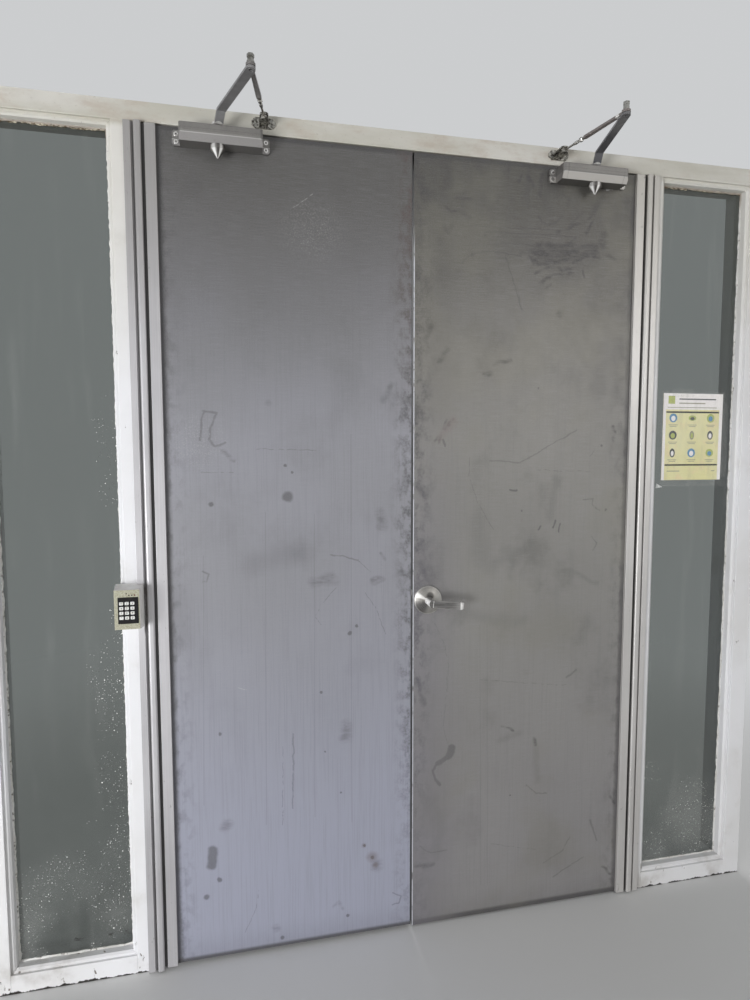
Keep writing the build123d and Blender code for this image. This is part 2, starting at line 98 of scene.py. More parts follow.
class Finish(Nodes):
    """One material's nodes, with a short call for each kind of wear or grain."""

    def __init__(self, name):
        self.material = bpy.data.materials.new(name)
        self.material.use_nodes = True
        self.tree = self.material.node_tree
        self.shader = self.tree.nodes["Principled BSDF"]
        coordinates = self.add("ShaderNodeTexCoord")
        self.place = coordinates.outputs["Object"]
        self.facing = coordinates.outputs["Normal"]
        split = self.add("ShaderNodeSeparateXYZ", Vector=self.place)
        self.x, self.y, self.z = split.outputs

    def times(self, first, second):
        return self.math("MULTIPLY", first, second)

    def plus(self, first, second):
        return self.math("ADD", first, second)

    def less(self, first, second):
        return self.math("SUBTRACT", first, second)

    def off_zero(self, value):
        return self.math("ABSOLUTE", value)

    def vector_math(self, operation, first, second=(0, 0, 0), output=0):
        node = self.add("ShaderNodeVectorMath", {"operation": operation})
        self.feed(node.inputs[0], first)
        self.feed(node.inputs[1], second)
        return node.outputs[output]

    def grade(self, value, zero_at, one_at):
        """0 to 1, smoothly, as the value goes from one figure to the other."""
        node = self.add("ShaderNodeMapRange", {"interpolation_type": "SMOOTHSTEP"}, Value=value)
        for name, figure in zip(("From Min", "From Max", "To Min", "To Max"), sorted_span(zero_at, one_at)):
            self.feed(node.inputs[name], figure)
        return node.outputs[0]

    def spread(self, value, low, high):
        """The value's 0 to 1 mapped to two other figures."""
        node = self.add("ShaderNodeMapRange", Value=value, To_Min=low, To_Max=high)
        return node.outputs[0]

    def grain(self, scale, detail=3.0, stretch=(1, 1, 1), shift=(0, 0, 0), roughness=0.55, place=None):
        mapped = self.add("ShaderNodeMapping", Vector=place or self.place, Scale=stretch, Location=shift)
        return self.add(
            "ShaderNodeTexNoise",
            Vector=mapped.outputs[0],
            Scale=scale,
            Detail=detail,
            Roughness=roughness,
        ).outputs["Fac"]

    def blend(self, amount, first, second, mode="MIX"):
        node = self.add("ShaderNodeMix", {"data_type": "RGBA", "blend_type": mode})
        self.feed(node.inputs[0], amount)
        self.feed(node.inputs[6], first)
        self.feed(node.inputs[7], second)
        return node.outputs[2]

    def tint(self, colour, mask, amount, tone):
        """The colour with some of a tone over it, where the mask lies."""
        return self.blend(self.times(mask, amount), colour, tone)

    def warped(self, scale, amount):
        """Object coordinates pushed about by noise, for ragged edges."""
        mapped = self.add("ShaderNodeTexNoise", Vector=self.place, Scale=scale, Detail=2.0)
        centred = self.vector_math("SUBTRACT", mapped.outputs["Color"], (0.5, 0.5, 0.5))
        pushed = self.vector_math("MULTIPLY", centred, (amount, amount, amount))
        return self.vector_math("ADD", self.place, pushed)

    def away(self, place, points):
        """How far a place is from a point, or from the line through several."""
        if len(points) == 1:
            return self.vector_math("DISTANCE", place, points[0], output=1)
        nearest = None
        for start, end in zip(points, points[1:]):
            run = end - start
            offset = self.vector_math("SUBTRACT", place, start)
            along = self.vector_math("DOT_PRODUCT", offset, run / run.length_squared, output=1)
            held = self.math("MINIMUM", self.math("MAXIMUM", along, 0.0), 1.0)
            foot = self.add("ShaderNodeVectorMath", {"operation": "SCALE"}, Scale=held)
            foot.inputs[0].default_value = run
            gap = self.vector_math("DISTANCE", offset, foot.outputs[0], output=1)
            nearest = self.math("MINIMUM", nearest, gap) if nearest else gap
        return nearest

    def bump(self, height, distance, strength=0.6):
        node = self.add("ShaderNodeBump", Height=height, Distance=distance, Strength=strength)
        self.feed(self.shader.inputs["Normal"], node.outputs[0])

    def finish(self, colour, roughness, metallic=0.0, **others):
        self.feed(self.shader.inputs["Base Color"], colour)
        self.feed(self.shader.inputs["Roughness"], roughness)
        self.feed(self.shader.inputs["Metallic"], metallic)
        for name, value in others.items():
            self.feed(self.shader.inputs[name.replace("_", " ")], value)
        return self.material


def sorted_span(zero_at, one_at):
    """From and to figures for a grade, whichever end is the greater."""
    if zero_at < one_at:
        return zero_at, one_at, 0.0, 1.0
    return one_at, zero_at, 1.0, 0.0


def chipped_paint():
    """White brushed paint on timber, chipped low down: stains and painted shade on the head, painted shade
    towards the top, and a ragged painted shadow at the floor.
    """
    f = Finish("chipped white paint")
    height = f.less(f.z, floor_z)
    brushed = f.grain(40, 3, stretch=(1, 1, 0.08))
    cloudy = f.grain(2.4, 5, shift=(3, 1, 0))
    blotched = f.grain(11, 6, shift=(1, 5, 2))
    chips = f.grain(34, 6, stretch=(1, 1, 0.55), shift=(2, 0, 7), roughness=0.7)
    near_floor = f.grade(height, 0.26, 0.0)
    floor_shadow_edge = f.less(height, f.times(f.grade(chips, 0.35, 0.75), 0.010))
    colour = f.blend(f.grade(cloudy, 0.35, 0.75), srgb(231, 231, 233), srgb(218, 217, 216))
    # Painted shade: the paint darkens towards the top.
    colour = f.tint(colour, f.grade(height, 1.5, 2.25), 0.55, srgb(212, 208, 195))
    # The head is darkened all over as painted shade, with stains in patches on top of that.
    on_head = f.grade(f.z, -0.070, -0.050)
    head_stains_and_shade = f.spread(f.grade(f.grain(7, 5, stretch=(0.5, 1, 2), shift=(6, 0, 1)), 0.35, 0.70), 0.35, 0.85)
    colour = f.tint(colour, on_head, head_stains_and_shade, srgb(186, 183, 170))
    browned = f.grade(f.grain(15, 6, stretch=(0.4, 1, 1), shift=(2, 9, 4), roughness=0.65), 0.50, 0.70)
    colour = f.tint(colour, f.times(on_head, browned), 0.50, srgb(176, 160, 144))
    flyspecks = f.grade(f.grain(150, 4, shift=(5, 5, 5), roughness=0.7), 0.64, 0.72)
    colour = f.tint(colour, f.times(on_head, flyspecks), 0.50, srgb(118, 106, 90))
    colour = f.tint(colour, f.grade(blotched, 0.56, 0.80), 0.30, srgb(184, 180, 171))
    smudged = f.times(near_floor, f.grade(blotched, 0.50, 0.78))
    colour = f.tint(colour, smudged, 0.55, srgb(160, 154, 148))
    bare_level = f.less(f.times(near_floor, 0.050), f.times(on_head, 0.01))
    bare = f.grade(f.plus(chips, bare_level), 0.675, 0.705)
    colour = f.blend(bare, colour, srgb(108, 98, 88))
    # Painted shadow: a ragged dark line where the frame meets the floor.
    colour = f.blend(f.grade(floor_shadow_edge, 0.0012, -0.0006), colour, srgb(40, 36, 32))
    level = f.plus(f.times(brushed, 0.4), f.times(bare, -0.9))
    f.bump(level, 0.0009, 0.7)
    return f.finish(colour, f.spread(blotched, 0.42, 0.68), Specular_IOR_Level=0.4)


# Marks on the leaves' outer faces. Each is half its width, then the points that it runs through,
# in mm to the right of the meeting line and above the floor.
left_drops = (
    (14, (-359, 1326)), (7, (-565, 1310)), (5, (-555, 665)), (6, (-185, 930)), (4, (-165, 950)),
    (4, (-270, 760)), (3, (-260, 585)), (7, (-565, 240)), (8, (-600, 195)), (6, (-390, 35)),
    (5, (-120, 240)), (4, (-145, 280)), (4, (-365, 1415)), (4, (-345, 1395)), (5, (-195, 70)),
    (13, (-580, 330), (-585, 285)), (3, (-215, 455)),
)
left_pen = (
    (3, (-576, 1560), (-586, 1535), (-590, 1482)),
    (3, (-580, 1560), (-545, 1556), (-561, 1520), (-566, 1485), (-550, 1466), (-526, 1475)),
    (2, (-240, 1160), (-205, 1155), (-160, 1140)), (1, (-160, 1140), (-125, 1105)),
    (2, (-592, 1128), (-575, 1120), (-580, 1097), (-592, 1098)), (1, (-590, 1395), (-505, 1395)),
    (1, (-440, 1460), (-280, 1455)), (1, (-225, 1065), (-270, 1015), (-285, 985), (-270, 960)),
    (1, (-140, 1045), (-110, 1000), (-80, 920)), (2, (-58, 120), (-31, 105), (-39, 85), (-60, 80)),
    (1, (-455, 190), (-465, 135), (-495, 70)), (2, (-350, 645), (-355, 425)), (1, (-381, 610), (-385, 380)),
)
left_rubs = (
    (14, (-290, 1086), (-234, 1091)), (16, (-196, 655), (-199, 625)), (7, (-60, 1643), (-88, 1598)),
    (7, (-405, 1585)), (7, (-118, 1077), (-86, 1086)), (9, (-36, 1100), (-22, 1076)),
    (6, (-90, 1155), (-80, 1140)), (9, (-405, 70)), (5, (-240, 105), (-225, 115), (-210, 95)),
    (15, (-545, 395)), (12, (-95, 1275), (-90, 1235)), (15, (-110, 215)), (5, (-530, 1450), (-500, 1430)),
)
left_shades = (
    (30, (-460, 1140), (-325, 1170)), (34, (-655, 1060), (-655, 955)), (24, (-590, 2140)),
)
right_drops = (
    (12, (127, 553), (118, 530)), (8, (118, 530), (84, 510)),
    (4, (84, 510), (67, 490), (72, 465), (90, 441)), (4, (625, 1270)), (3, (390, 1640)), (3, (320, 380)),
    (3, (454, 1241), (449, 1219)), (2, (473, 1231), (466, 1205)), (3, (406, 1224), (399, 1212)),
    (5, (177, 2014)), (4, (215, 2072)), (4, (605, 1470)), (3, (345, 1272)), (3, (93, 1485), (98, 1467)),
    (3, (304, 1336), (326, 1335)), (3, (527, 1992), (534, 1971)),
)
right_pen = (
    (3, (381, 2137), (392, 2122), (411, 2115), (435, 2122), (457, 2143)), (3, (524, 2160), (478, 2114)),
    (2, (160, 2096), (420, 2102)), (2, (214, 2081), (490, 2088)), (1, (240, 2067), (503, 2087)),
    (2, (450, 2089), (503, 2085), (483, 2068)),
    (2, (148, 1990), (163, 2009), (194, 2022), (240, 2029), (325, 2020)),
    (1, (170, 2041), (292, 2055), (387, 2052)), (2, (281, 2013), (335, 1863)),
    (1, (318, 1934), (328, 1893)), (2, (239, 1424), (335, 1417), (520, 1516)),
    (1, (176, 1436), (174, 1377), (204, 1298), (252, 1216)),
    (1, (71, 943), (103, 870), (114, 808), (100, 613), (121, 553)), (1, (390, 1395), (568, 1388)),
    (1, (567, 1435), (600, 1476)), (2, (548, 1301), (582, 1306), (577, 1285), (606, 1269)),
    (2, (580, 1186), (598, 1165), (587, 1144)), (1, (215, 758), (505, 718)), (3, (539, 764), (505, 745)),
    (2, (376, 407), (410, 375), (445, 371)), (2, (438, 139), (507, 174), (530, 216)),
    (2, (474, 89), (579, 141)), (1, (255, 232), (414, 187)), (3, (600, 262), (626, 191)),
    (2, (28, 254), (60, 228), (113, 231)),
)
right_rubs = (
    (8, (588, 2216), (554, 2153)), (4, (554, 2153), (531, 2129), (442, 2094)),
    (4, (568, 2144), (536, 2102)), (9, (379, 2055), (573, 2062)), (21, (366, 2030), (500, 2036)),
    (9, (368, 2008), (432, 2007), (571, 2048)), (5, (373, 1976), (420, 1993), (502, 1992)),
    (4, (389, 1947), (453, 1977), (498, 1983)), (6, (324, 2032), (346, 2025), (363, 2001)),
    (4, (493, 2009), (534, 2028), (585, 2033)), (3, (397, 1934), (421, 1943)),
    (13, (594, 2103), (589, 2075)), (6, (610, 2038), (630, 2027)),
    (4, (97, 2143), (112, 2127), (142, 2133), (167, 2119)), (6, (90, 2091), (105, 2071), (117, 2092)),
    (5, (283, 2266), (285, 2221)), (5, (324, 2259), (313, 2235)), (6, (384, 2257), (390, 2202)),
    (6, (464, 2204), (473, 2180)), (5, (343, 2250), (368, 2224)), (5, (123, 2169), (168, 2169)),
    (11, (456, 1861)), (8, (104, 1743), (74, 1706)), (5, (251, 1704), (298, 1720)),
    (5, (220, 1674), (259, 1690)), (7, (36, 1769), (58, 1812)), (4, (128, 1543), (68, 1480)),
    (4, (105, 1538), (81, 1475)), (5, (395, 556), (402, 534)), (4, (294, 604), (327, 590)),
    (7, (13, 1359), (38, 1320)), (8, (24, 1125), (45, 1074)), (7, (20, 774), (36, 701)),
    (6, (17, 191), (71, 194)), (5, (653, 96), (678, 69)), (4, (670, 332), (683, 308)),
    (4, (644, 1527), (651, 1486)),
)
right_shades = (
    (30, (120, 2050), (330, 2056)), (27, (87, 2032), (87, 1998)), (38, (85, 1965), (80, 1570)),
    (12, (448, 1835), (577, 1683)), (26, (588, 1750), (590, 1640)), (26, (660, 1740), (655, 1630)),
    (24, (204, 1248), (216, 1127), (243, 1106)), (16, (291, 1149), (318, 1123)),
    (15, (372, 1172), (340, 1143), (243, 1116)), (14, (456, 1364), (437, 1252)),
    (8, (491, 1085), (601, 1038)), (10, (405, 517), (409, 419)), (10, (284, 562), (350, 577)),
    (17, (59, 398), (91, 309), (81, 225)), (20, (372, 1938), (490, 1980), (560, 2030)),
    (18, (165, 973), (260, 940), (350, 935)),
)
drawn_lines = {
    "left": ((1, (-588, 1170), (-602, 465)), (1, (-420, 1285), (-431, 385)), (1, (-285, 1275), (-291, 390)),
             (1, (-180, 1500), (-182, 360))),
    "right": ((1, (213, 930), (226, 100)), (1, (236, 930), (248, 95))),
}
light_scratches = {
    "left": ((1, (-335, 2105), (-280, 2145)), (1, (-515, 800), (-480, 785))),
    "right": ((3, (641, 2236), (658, 2243)), (2, (600, 2232), (621, 2232))),
}


def at(x_mm, height_mm):
    """A place on the leaves' outer face, from mm to the right of the meeting line and above the floor."""
    return Vector((x_mm * MM, face_y, floor_z + height_mm * MM))


def marked(f, place, marks, soft):
    """Where a group of marks lies, each with a soft edge."""
    nearest = None
    for half_width, *points in marks:
        points = [at(x, height) for x, height in points]
        half_widths_off = f.times(f.away(place, points), 1 / (half_width * MM))
        nearest = f.math("MINIMUM", nearest, half_widths_off) if nearest else half_widths_off
    return f.grade(nearest, 1 + soft, 1 - soft)


def steel_skin(side):
    """Grey primed steel, finely brushed: handled at its meeting edge, and scuffed, rubbed and spotted. It has
    painted shade towards its top, in lines under the head, at the foot and beside the hinge cover, and in the
    meeting gap. It has a painted sheen towards its foot and on the right leaf's arris.
    """
    sign = dict(SIDES)[side]
    f = Finish(f"{side} leaf primed steel")
    ragged = f.warped(46, 0.010)
    loose = f.warped(18, 0.035)
    height = f.less(f.z, floor_z)
    inward = f.times(f.x, sign)
    hinge_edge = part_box(f"{side}_hinge_leaf_plate")[1 if sign < 0 else 0].x * sign
    broad = f.grain(1.5, 3, shift=(4 * sign, 0, 1))
    cloudy = f.grain(6, 5, stretch=(1, 1, 0.8), shift=(2, 0, 6 * sign), roughness=0.6)
    mottled = f.grain(34, 4, stretch=(1, 1, 0.7), shift=(9 * sign, 0, 3), roughness=0.62)
    dripped = f.grain(22, 4, stretch=(1.2, 1, 0.55), shift=(3, 0, 8 * sign), roughness=0.65)
    crosswise = f.grain(70, 2, stretch=(0.25, 1, 9))
    lengthwise = f.grain(130, 2, stretch=(2.4, 1, 0.05))
    fine = f.grain(520, 2)
    base, pale, dark = {
        "left": (srgb(143, 143, 148), srgb(151, 151, 159), srgb(118, 118, 121)),
        "right": (srgb(127, 125, 120), srgb(137, 135, 130), srgb(108, 106, 101)),
    }[side]
    cloud_amount, edge_reach, edge_amount, top_amount = {
        "left": (0.35, 0.075, 0.62, 0.06),
        "right": (0.90, 0.090, 0.78, 0.42),
    }[side]
    pen_amount, rub_amount, drop_amount = {"left": (0.38, 0.40, 0.60), "right": (0.36, 0.68, 0.60)}[side]
    # Strengths of the painted shade towards the top and of the painted sheen towards the foot, and the
    # sheen's tone.
    top_shade, foot_sheen, foot_sheen_tone = {
        "left": (0.87, 0.78, srgb(172, 175, 194)),
        "right": (0.96, 0.55, srgb(147, 144, 146)),
    }[side]
    colour = f.blend(f.grade(broad, 0.35, 0.68), base, pale)
    colour = f.tint(colour, f.grade(cloudy, 0.48, 0.74), cloud_amount, dark)
    # Painted shade: darker towards the top.
    colour = f.tint(colour, f.grade(height, 1.35, 2.26), top_shade, srgb(74, 71, 63))
    # Painted sheen: paler towards the foot, as if lit from the floor.
    colour = f.tint(colour, f.grade(height, 1.15, 0.15), foot_sheen, foot_sheen_tone)
    colour = f.tint(colour, f.grade(crosswise, 0.40, 0.75), 0.12, srgb(168, 168, 174))
    colour = f.tint(colour, f.grade(lengthwise, 0.42, 0.75), 0.14, srgb(98, 98, 101))
    at_meeting = f.grade(f.plus(inward, f.times(cloudy, -0.07)), edge_reach - 0.035, -0.035)
    handled = f.times(at_meeting, f.grade(mottled, 0.42, 0.60))
    handled = f.times(handled, f.spread(f.grade(height, 0.1, 0.9), 0.35, 1.0))
    speckled = f.grade(f.grain(120, 3, shift=(0, 4, 4), roughness=0.7), 0.38, 0.62)
    handled = f.times(handled, f.spread(speckled, 0.50, 1.15))
    worn_top = f.times(f.grade(height, 2.02, 2.27), f.grade(dripped, 0.44, 0.64))
    # Painted shadow of the proud hinge cover along the leaf's hinge edge, mixed with grime.
    hinge_shadow_line = f.grade(f.plus(inward, f.times(mottled, 0.012)), hinge_edge - 0.014, hinge_edge)
    near_hinge = f.times(f.grade(inward, hinge_edge - 0.08, hinge_edge), f.grade(mottled, 0.46, 0.66))
    near_floor = f.times(f.grade(height, 0.10, 0.0), f.spread(mottled, 0.2, 0.8))
    # Painted shadow lines: under the head at the leaf's top, and along its foot at the floor.
    head_shadow_line = f.grade(height, 2.266, 2.275)
    floor_shadow_line = f.grade(height, 0.026, 0.015)
    drops, pen, rubs, shades = {
        "left": (left_drops, left_pen, left_rubs, left_shades),
        "right": (right_drops, right_pen, right_rubs, right_shades),
    }[side]
    across_grain = f.grain(64, 3, stretch=(0.4, 1, 1.5), shift=(0, 0, 5), roughness=0.7)
    streaked = f.spread(f.grade(across_grain, 0.34, 0.62), 0.38, 1.0)
    rubbed = f.times(marked(f, loose, rubs, 0.85), streaked)
    shaded = f.times(marked(f, loose, shades, 0.9), f.spread(cloudy, 0.4, 1.0))
    # Dark tone used for the dirt, and also for the painted shade and shadow lines.
    soot_and_shade = srgb(64, 62, 62)
    for mask, amount in (
        (handled, edge_amount), (worn_top, top_amount), (near_hinge, 0.30), (near_floor, 0.35),
        (shaded, 0.24), (rubbed, rub_amount), (marked(f, ragged, pen, 0.7), pen_amount),
        (marked(f, ragged, drops, 0.35), drop_amount), (hinge_shadow_line, 0.70), (head_shadow_line, 0.8),
        (floor_shadow_line, 0.85),
    ):
        colour = f.tint(colour, mask, amount, soot_and_shade)
    flecked = f.grade(f.grain(300, 3), 0.50, 0.70)
    if side == "left":
        flecks = f.times(marked(f, loose, ((70, (-285, 2050)), (60, (-595, 1475))), 0.8), flecked)
        colour = f.tint(colour, flecks, 0.26, srgb(200, 200, 196))
        browned = f.times(handled, f.grade(height, 1.5, 2.0))
        colour = f.tint(colour, browned, 0.35, srgb(104, 84, 76))
        rust = marked(f, ragged, ((14, (-121, 243)), (9, (-112, 216)), (6, (-146, 281))), 0.7)
        colour = f.tint(colour, rust, 0.40, srgb(98, 76, 58))
        # Painted shade: a dark line along the left leaf's meeting edge, where the gap falls dark.
        colour = f.tint(colour, f.grade(inward, 0.0050, 0.0036), 0.75, srgb(46, 45, 48))
    else:
        red_rubs = marked(f, loose, ((9, (128, 1543), (85, 1490)), (4, (337, 1275), (343, 1244))), 0.9)
        colour = f.tint(colour, f.times(red_rubs, streaked), 0.35, srgb(112, 82, 84))
        olive = f.grade(f.grain(3.2, 4, shift=(7, 0, 2)), 0.46, 0.66)
        colour = f.tint(colour, olive, 0.30, srgb(126, 123, 110))
        purple = f.times(f.grade(inward, 0.20, 0.02), f.grade(height, 1.9, 0.9))
        colour = f.tint(colour, purple, 0.40, srgb(118, 115, 126))
        # Painted highlight where the right leaf's arris catches the light, partly metal rubbed bare.
        arris_highlight_and_wear = f.times(f.grade(inward, 0.0060, 0.0046), f.grade(mottled, 0.34, 0.50))
        arris_highlight_and_wear = f.times(arris_highlight_and_wear, f.grade(height, 2.10, 1.95))
        colour = f.blend(arris_highlight_and_wear, colour, srgb(206, 208, 214))
    # Painted shade on the leaf's sides inside the meeting gap.
    seam_shade = f.times(f.grade(inward, 0.0055, 0.0040), f.grade(f.y, face_y + 0.0008, face_y + 0.003))
    colour = f.tint(colour, seam_shade, 0.85, srgb(30, 28, 27))
    colour = f.tint(colour, marked(f, f.place, drawn_lines[side], 0.6), 0.25, srgb(92, 92, 96))
    scratched = marked(f, ragged, light_scratches[side], 0.4)
    colour = f.tint(colour, scratched, 0.55 if side == "right" else 0.30, srgb(206, 206, 204))
    colour = f.tint(colour, f.grade(fine, 0.3, 0.7), 0.16, srgb(172, 172, 175))
    level = f.plus(f.times(crosswise, 0.5), f.times(fine, 0.5))
    f.bump(level, 0.00025, 0.5)
    polish = f.plus(f.spread(mottled, 0.38, 0.54), f.times(rubbed, 0.12))
    return f.finish(colour, polish, metallic=0.30, Specular_IOR_Level=0.45)


def dusty_glass():
    """Clear pane with a grey-green cast, spattered with white paint low down and along one side."""
    f = Finish("dusty glass")
    height = f.less(f.z, floor_z)
    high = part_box("left_glass")[1]
    from_post = f.off_zero(f.less(f.x, high.x - 0.012))
    along_post = f.times(f.grade(from_post, 0.13, 0.0), f.spread(f.grade(height, 1.9, 0.9), 0.15, 1.0))
    spattered = f.math("MAXIMUM", f.grade(height, 0.60, 0.10), along_post)
    patchy = f.grain(5.0, 5, shift=(1, 0, 2))
    thinly = f.times(f.grade(patchy, 0.40, 0.62), f.spread(spattered, 0.10, 1.0))
    dust = None
    for scale, reach, share in ((62.0, 0.13, 0.62), (110.0, 0.17, 0.45), (210.0, 0.22, 0.35)):
        cells = f.add("ShaderNodeTexVoronoi", Vector=f.place, Scale=scale)
        chance = f.add("ShaderNodeSeparateColor", Color=cells.outputs["Color"]).outputs[0]
        size = f.times(f.times(chance, chance), reach)
        dot = f.grade(f.less(cells.outputs["Distance"], size), 0.03, -0.02)
        dot = f.times(dot, f.grade(f.times(chance, thinly), share * 0.55, share * 0.75))
        dust = f.math("MAXIMUM", dust, dot) if dust else dot
    streaks = f.grain(26, 4, stretch=(1, 1, 0.10), shift=(5, 0, 0))
    film = f.times(f.grade(streaks, 0.50, 0.85), 0.10)
    low_film = f.times(f.grade(height, 0.55, 0.05), f.times(f.grade(patchy, 0.35, 0.7), 0.20))
    dust = f.math("ADD", f.plus(dust, film), low_film, clamp=True)
    colour = f.blend(dust, (0.238, 0.258, 0.246, 1), srgb(232, 232, 228))
    clear = f.math("SUBTRACT", 1.0, dust, clamp=True)
    f.feed(f.shader.inputs["Transmission Weight"], clear)
    return f.finish(colour, f.spread(dust, 0.02, 0.6), IOR=1.5)


def anodised_hinge():
    """Clear-anodised aluminium, drawn along its length, with painted shade in the grooves between its covers
    and towards its top, and a painted shadow and a stain beside the keypad.
    """
    f = Finish("clear anodised aluminium")
    height = f.less(f.z, floor_z)
    drawn = f.grain(240, 3, stretch=(1, 1, 0.012))
    cloudy = f.grain(6, 5, stretch=(1, 1, 0.5), shift=(0, 3, 1))
    spots = f.grain(70, 6, stretch=(1, 1, 0.6), shift=(7, 0, 0), roughness=0.7)
    dirty = f.grade(f.plus(spots, f.times(f.grade(height, 0.25, 0.0), 0.03)), 0.64, 0.72)
    colour = f.blend(f.grade(cloudy, 0.3, 0.75), srgb(198, 196, 198), srgb(180, 178, 180))
    colour = f.tint(colour, f.grade(drawn, 0.3, 0.7), 0.22, srgb(217, 216, 218))
    # Painted shade: the covers darken towards the top.
    colour = f.tint(colour, f.grade(height, 1.6, 2.28), 0.62, srgb(146, 142, 136))
    colour = f.tint(colour, f.grade(f.x, -0.1, 0.1), 0.30, srgb(208, 204, 190))
    colour = f.tint(colour, dirty, 0.55, srgb(104, 101, 97))
    cover_front_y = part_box("left_hinge_leaf_plate")[0].y
    deep = f.grade(f.y, cover_front_y + 0.001, cover_front_y + 0.005)
    # Painted shade in the grooves between the covers, below their faces.
    for side, sign in SIDES:
        cap_low, cap_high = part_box(f"{side}_hinge_cap")
        outward = f.times(f.less(f.x, (cap_low.x + cap_high.x) / 2), sign)
        leaf_gap = f.times(f.grade(outward, -0.0172, -0.0164), f.grade(outward, -0.005, -0.007))
        frame_gap = f.times(f.grade(outward, 0.0150, 0.0130), f.grade(outward, 0.005, 0.007))
        groove_shade = f.math("MAXIMUM", f.times(leaf_gap, 0.85), f.times(frame_gap, 0.70))
        colour = f.tint(colour, groove_shade, deep, srgb(44, 42, 40))
    # Painted shadow of the keypad case on the cover beside it, with a brown stain running below.
    pad_low, pad_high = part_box("keypad_case")
    keypad_shadow_and_stain = f.grade(f.off_zero(f.less(f.x, pad_high.x + 0.003)), 0.007, 0.002)
    keypad_shadow_and_stain = f.times(keypad_shadow_and_stain, f.grade(f.z, pad_low.z - 0.030, pad_low.z - 0.005))
    keypad_shadow_and_stain = f.times(keypad_shadow_and_stain, f.grade(f.z, pad_high.z + 0.006, pad_high.z - 0.006))
    keypad_shadow_and_stain = f.times(keypad_shadow_and_stain, f.spread(f.grade(spots, 0.40, 0.60), 0.5, 1.0))
    colour = f.tint(colour, keypad_shadow_and_stain, 0.75, srgb(62, 50, 42))
    f.bump(drawn, 0.00012, 0.5)
    return f.finish(colour, f.spread(spots, 0.34, 0.52), metallic=0.45)


def silver_paint():
    """Silver-grey sprayed paint with a fine flake, with painted light: darker above the ridge and paler below
    as a painted sheen, a painted highlight on the ridge, and painted shade in the crease, at the ends and
    underneath.
    """
    f = Finish("silver sprayed paint")
    body_low, plate_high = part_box("left_closer_body")[0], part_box("left_closer_plate")[1]
    ridge_share, crease_rise = 0.43, 0.0105
    ridge_z = body_low.z + (plate_high.z - body_low.z) * ridge_share
    flake = f.grain(1500, 1)
    cloudy = f.grain(14, 5)
    rubbed = f.grain(90, 6, shift=(3, 3, 0), roughness=0.7)
    colour = f.blend(f.grade(cloudy, 0.3, 0.7), srgb(130, 127, 123), srgb(119, 116, 112))
    # Painted sheen: the band below the ridge is paler, much paler on the right closer, as if lit from the
    # ground.
    lower = f.grade(f.z, ridge_z + 0.0004, ridge_z - 0.0004)
    lower_band_sheen = f.blend(f.grade(f.x, -0.1, 0.1), srgb(139, 136, 134), srgb(184, 180, 174))
    colour = f.blend(lower, colour, lower_band_sheen)
    # Painted highlight along the ridge.
    ridge = f.grade(f.off_zero(f.less(f.z, ridge_z)), 0.0011, 0.0005)
    colour = f.tint(colour, ridge, 0.6, srgb(204, 203, 200))
    # Painted shade in the crease.
    crease = f.grade(f.off_zero(f.less(f.z, ridge_z + crease_rise)), 0.0010, 0.0004)
    colour = f.tint(colour, crease, 0.35, srgb(74, 72, 70))
    colour = f.tint(colour, f.grade(flake, 0.35, 0.65), 0.22, srgb(186, 186, 184))
    colour = f.tint(colour, f.grade(rubbed, 0.62, 0.72), 0.5, srgb(96, 94, 92))
    across, _, down = f.add("ShaderNodeSeparateXYZ", Vector=f.facing).outputs
    # Painted shade on the faces turned towards the ends.
    at_end = f.grade(f.off_zero(across), 0.6, 0.9)
    colour = f.tint(colour, at_end, 0.75, srgb(98, 95, 93))
    # Painted shade on the undersides, lighter on the left closer than on the right.
    underside_shade = f.blend(f.grade(f.x, -0.1, 0.1), srgb(106, 104, 101), srgb(66, 64, 60))
    colour = f.tint(colour, f.grade(down, -0.5, -0.85), 0.85, underside_shade)
    f.bump(flake, 0.00008, 0.5)
    return f.finish(colour, f.spread(cloudy, 0.36, 0.48), metallic=0.45)


def grey_arm():
    """Grey painted bar steel, scuffed, darker on the right arm and worn bright round the spindles."""
    f = Finish("grey painted arm steel")
    cloudy = f.grain(18, 5)
    scuffs = f.grain(70, 7, stretch=(1, 0.3, 1), roughness=0.7)
    colour = f.blend(f.grade(cloudy, 0.3, 0.7), srgb(146, 145, 145), srgb(120, 119, 119))
    colour = f.tint(colour, f.grade(scuffs, 0.60, 0.70), 0.6, srgb(166, 165, 164))
    on_right = f.times(f.grade(f.x, -0.1, 0.1), f.spread(f.grade(f.y, -0.20, -0.28), 0.75, 0.35))
    colour = f.blend(on_right, colour, srgb(72, 72, 77))
    at_root = None
    for side, _ in SIDES:
        cap_low, cap_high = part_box(f"{side}_closer_spindle_cap")
        axis = Vector(((cap_low.x + cap_high.x) / 2, (cap_low.y + cap_high.y) / 2, 0))
        flattened = f.add("ShaderNodeCombineXYZ", X=f.x, Y=f.y)
        near = f.grade(f.away(flattened.outputs[0], [axis]), 0.0185, 0.0170)
        at_root = f.math("MAXIMUM", at_root, near) if at_root else near
    at_root = f.times(at_root, f.spread(f.grade(scuffs, 0.40, 0.60), 0.6, 1.0))
    colour = f.blend(at_root, colour, srgb(226, 224, 220))
    f.bump(cloudy, 0.0002, 0.4)
    return f.finish(colour, f.spread(scuffs, 0.36, 0.54), metallic=0.3)


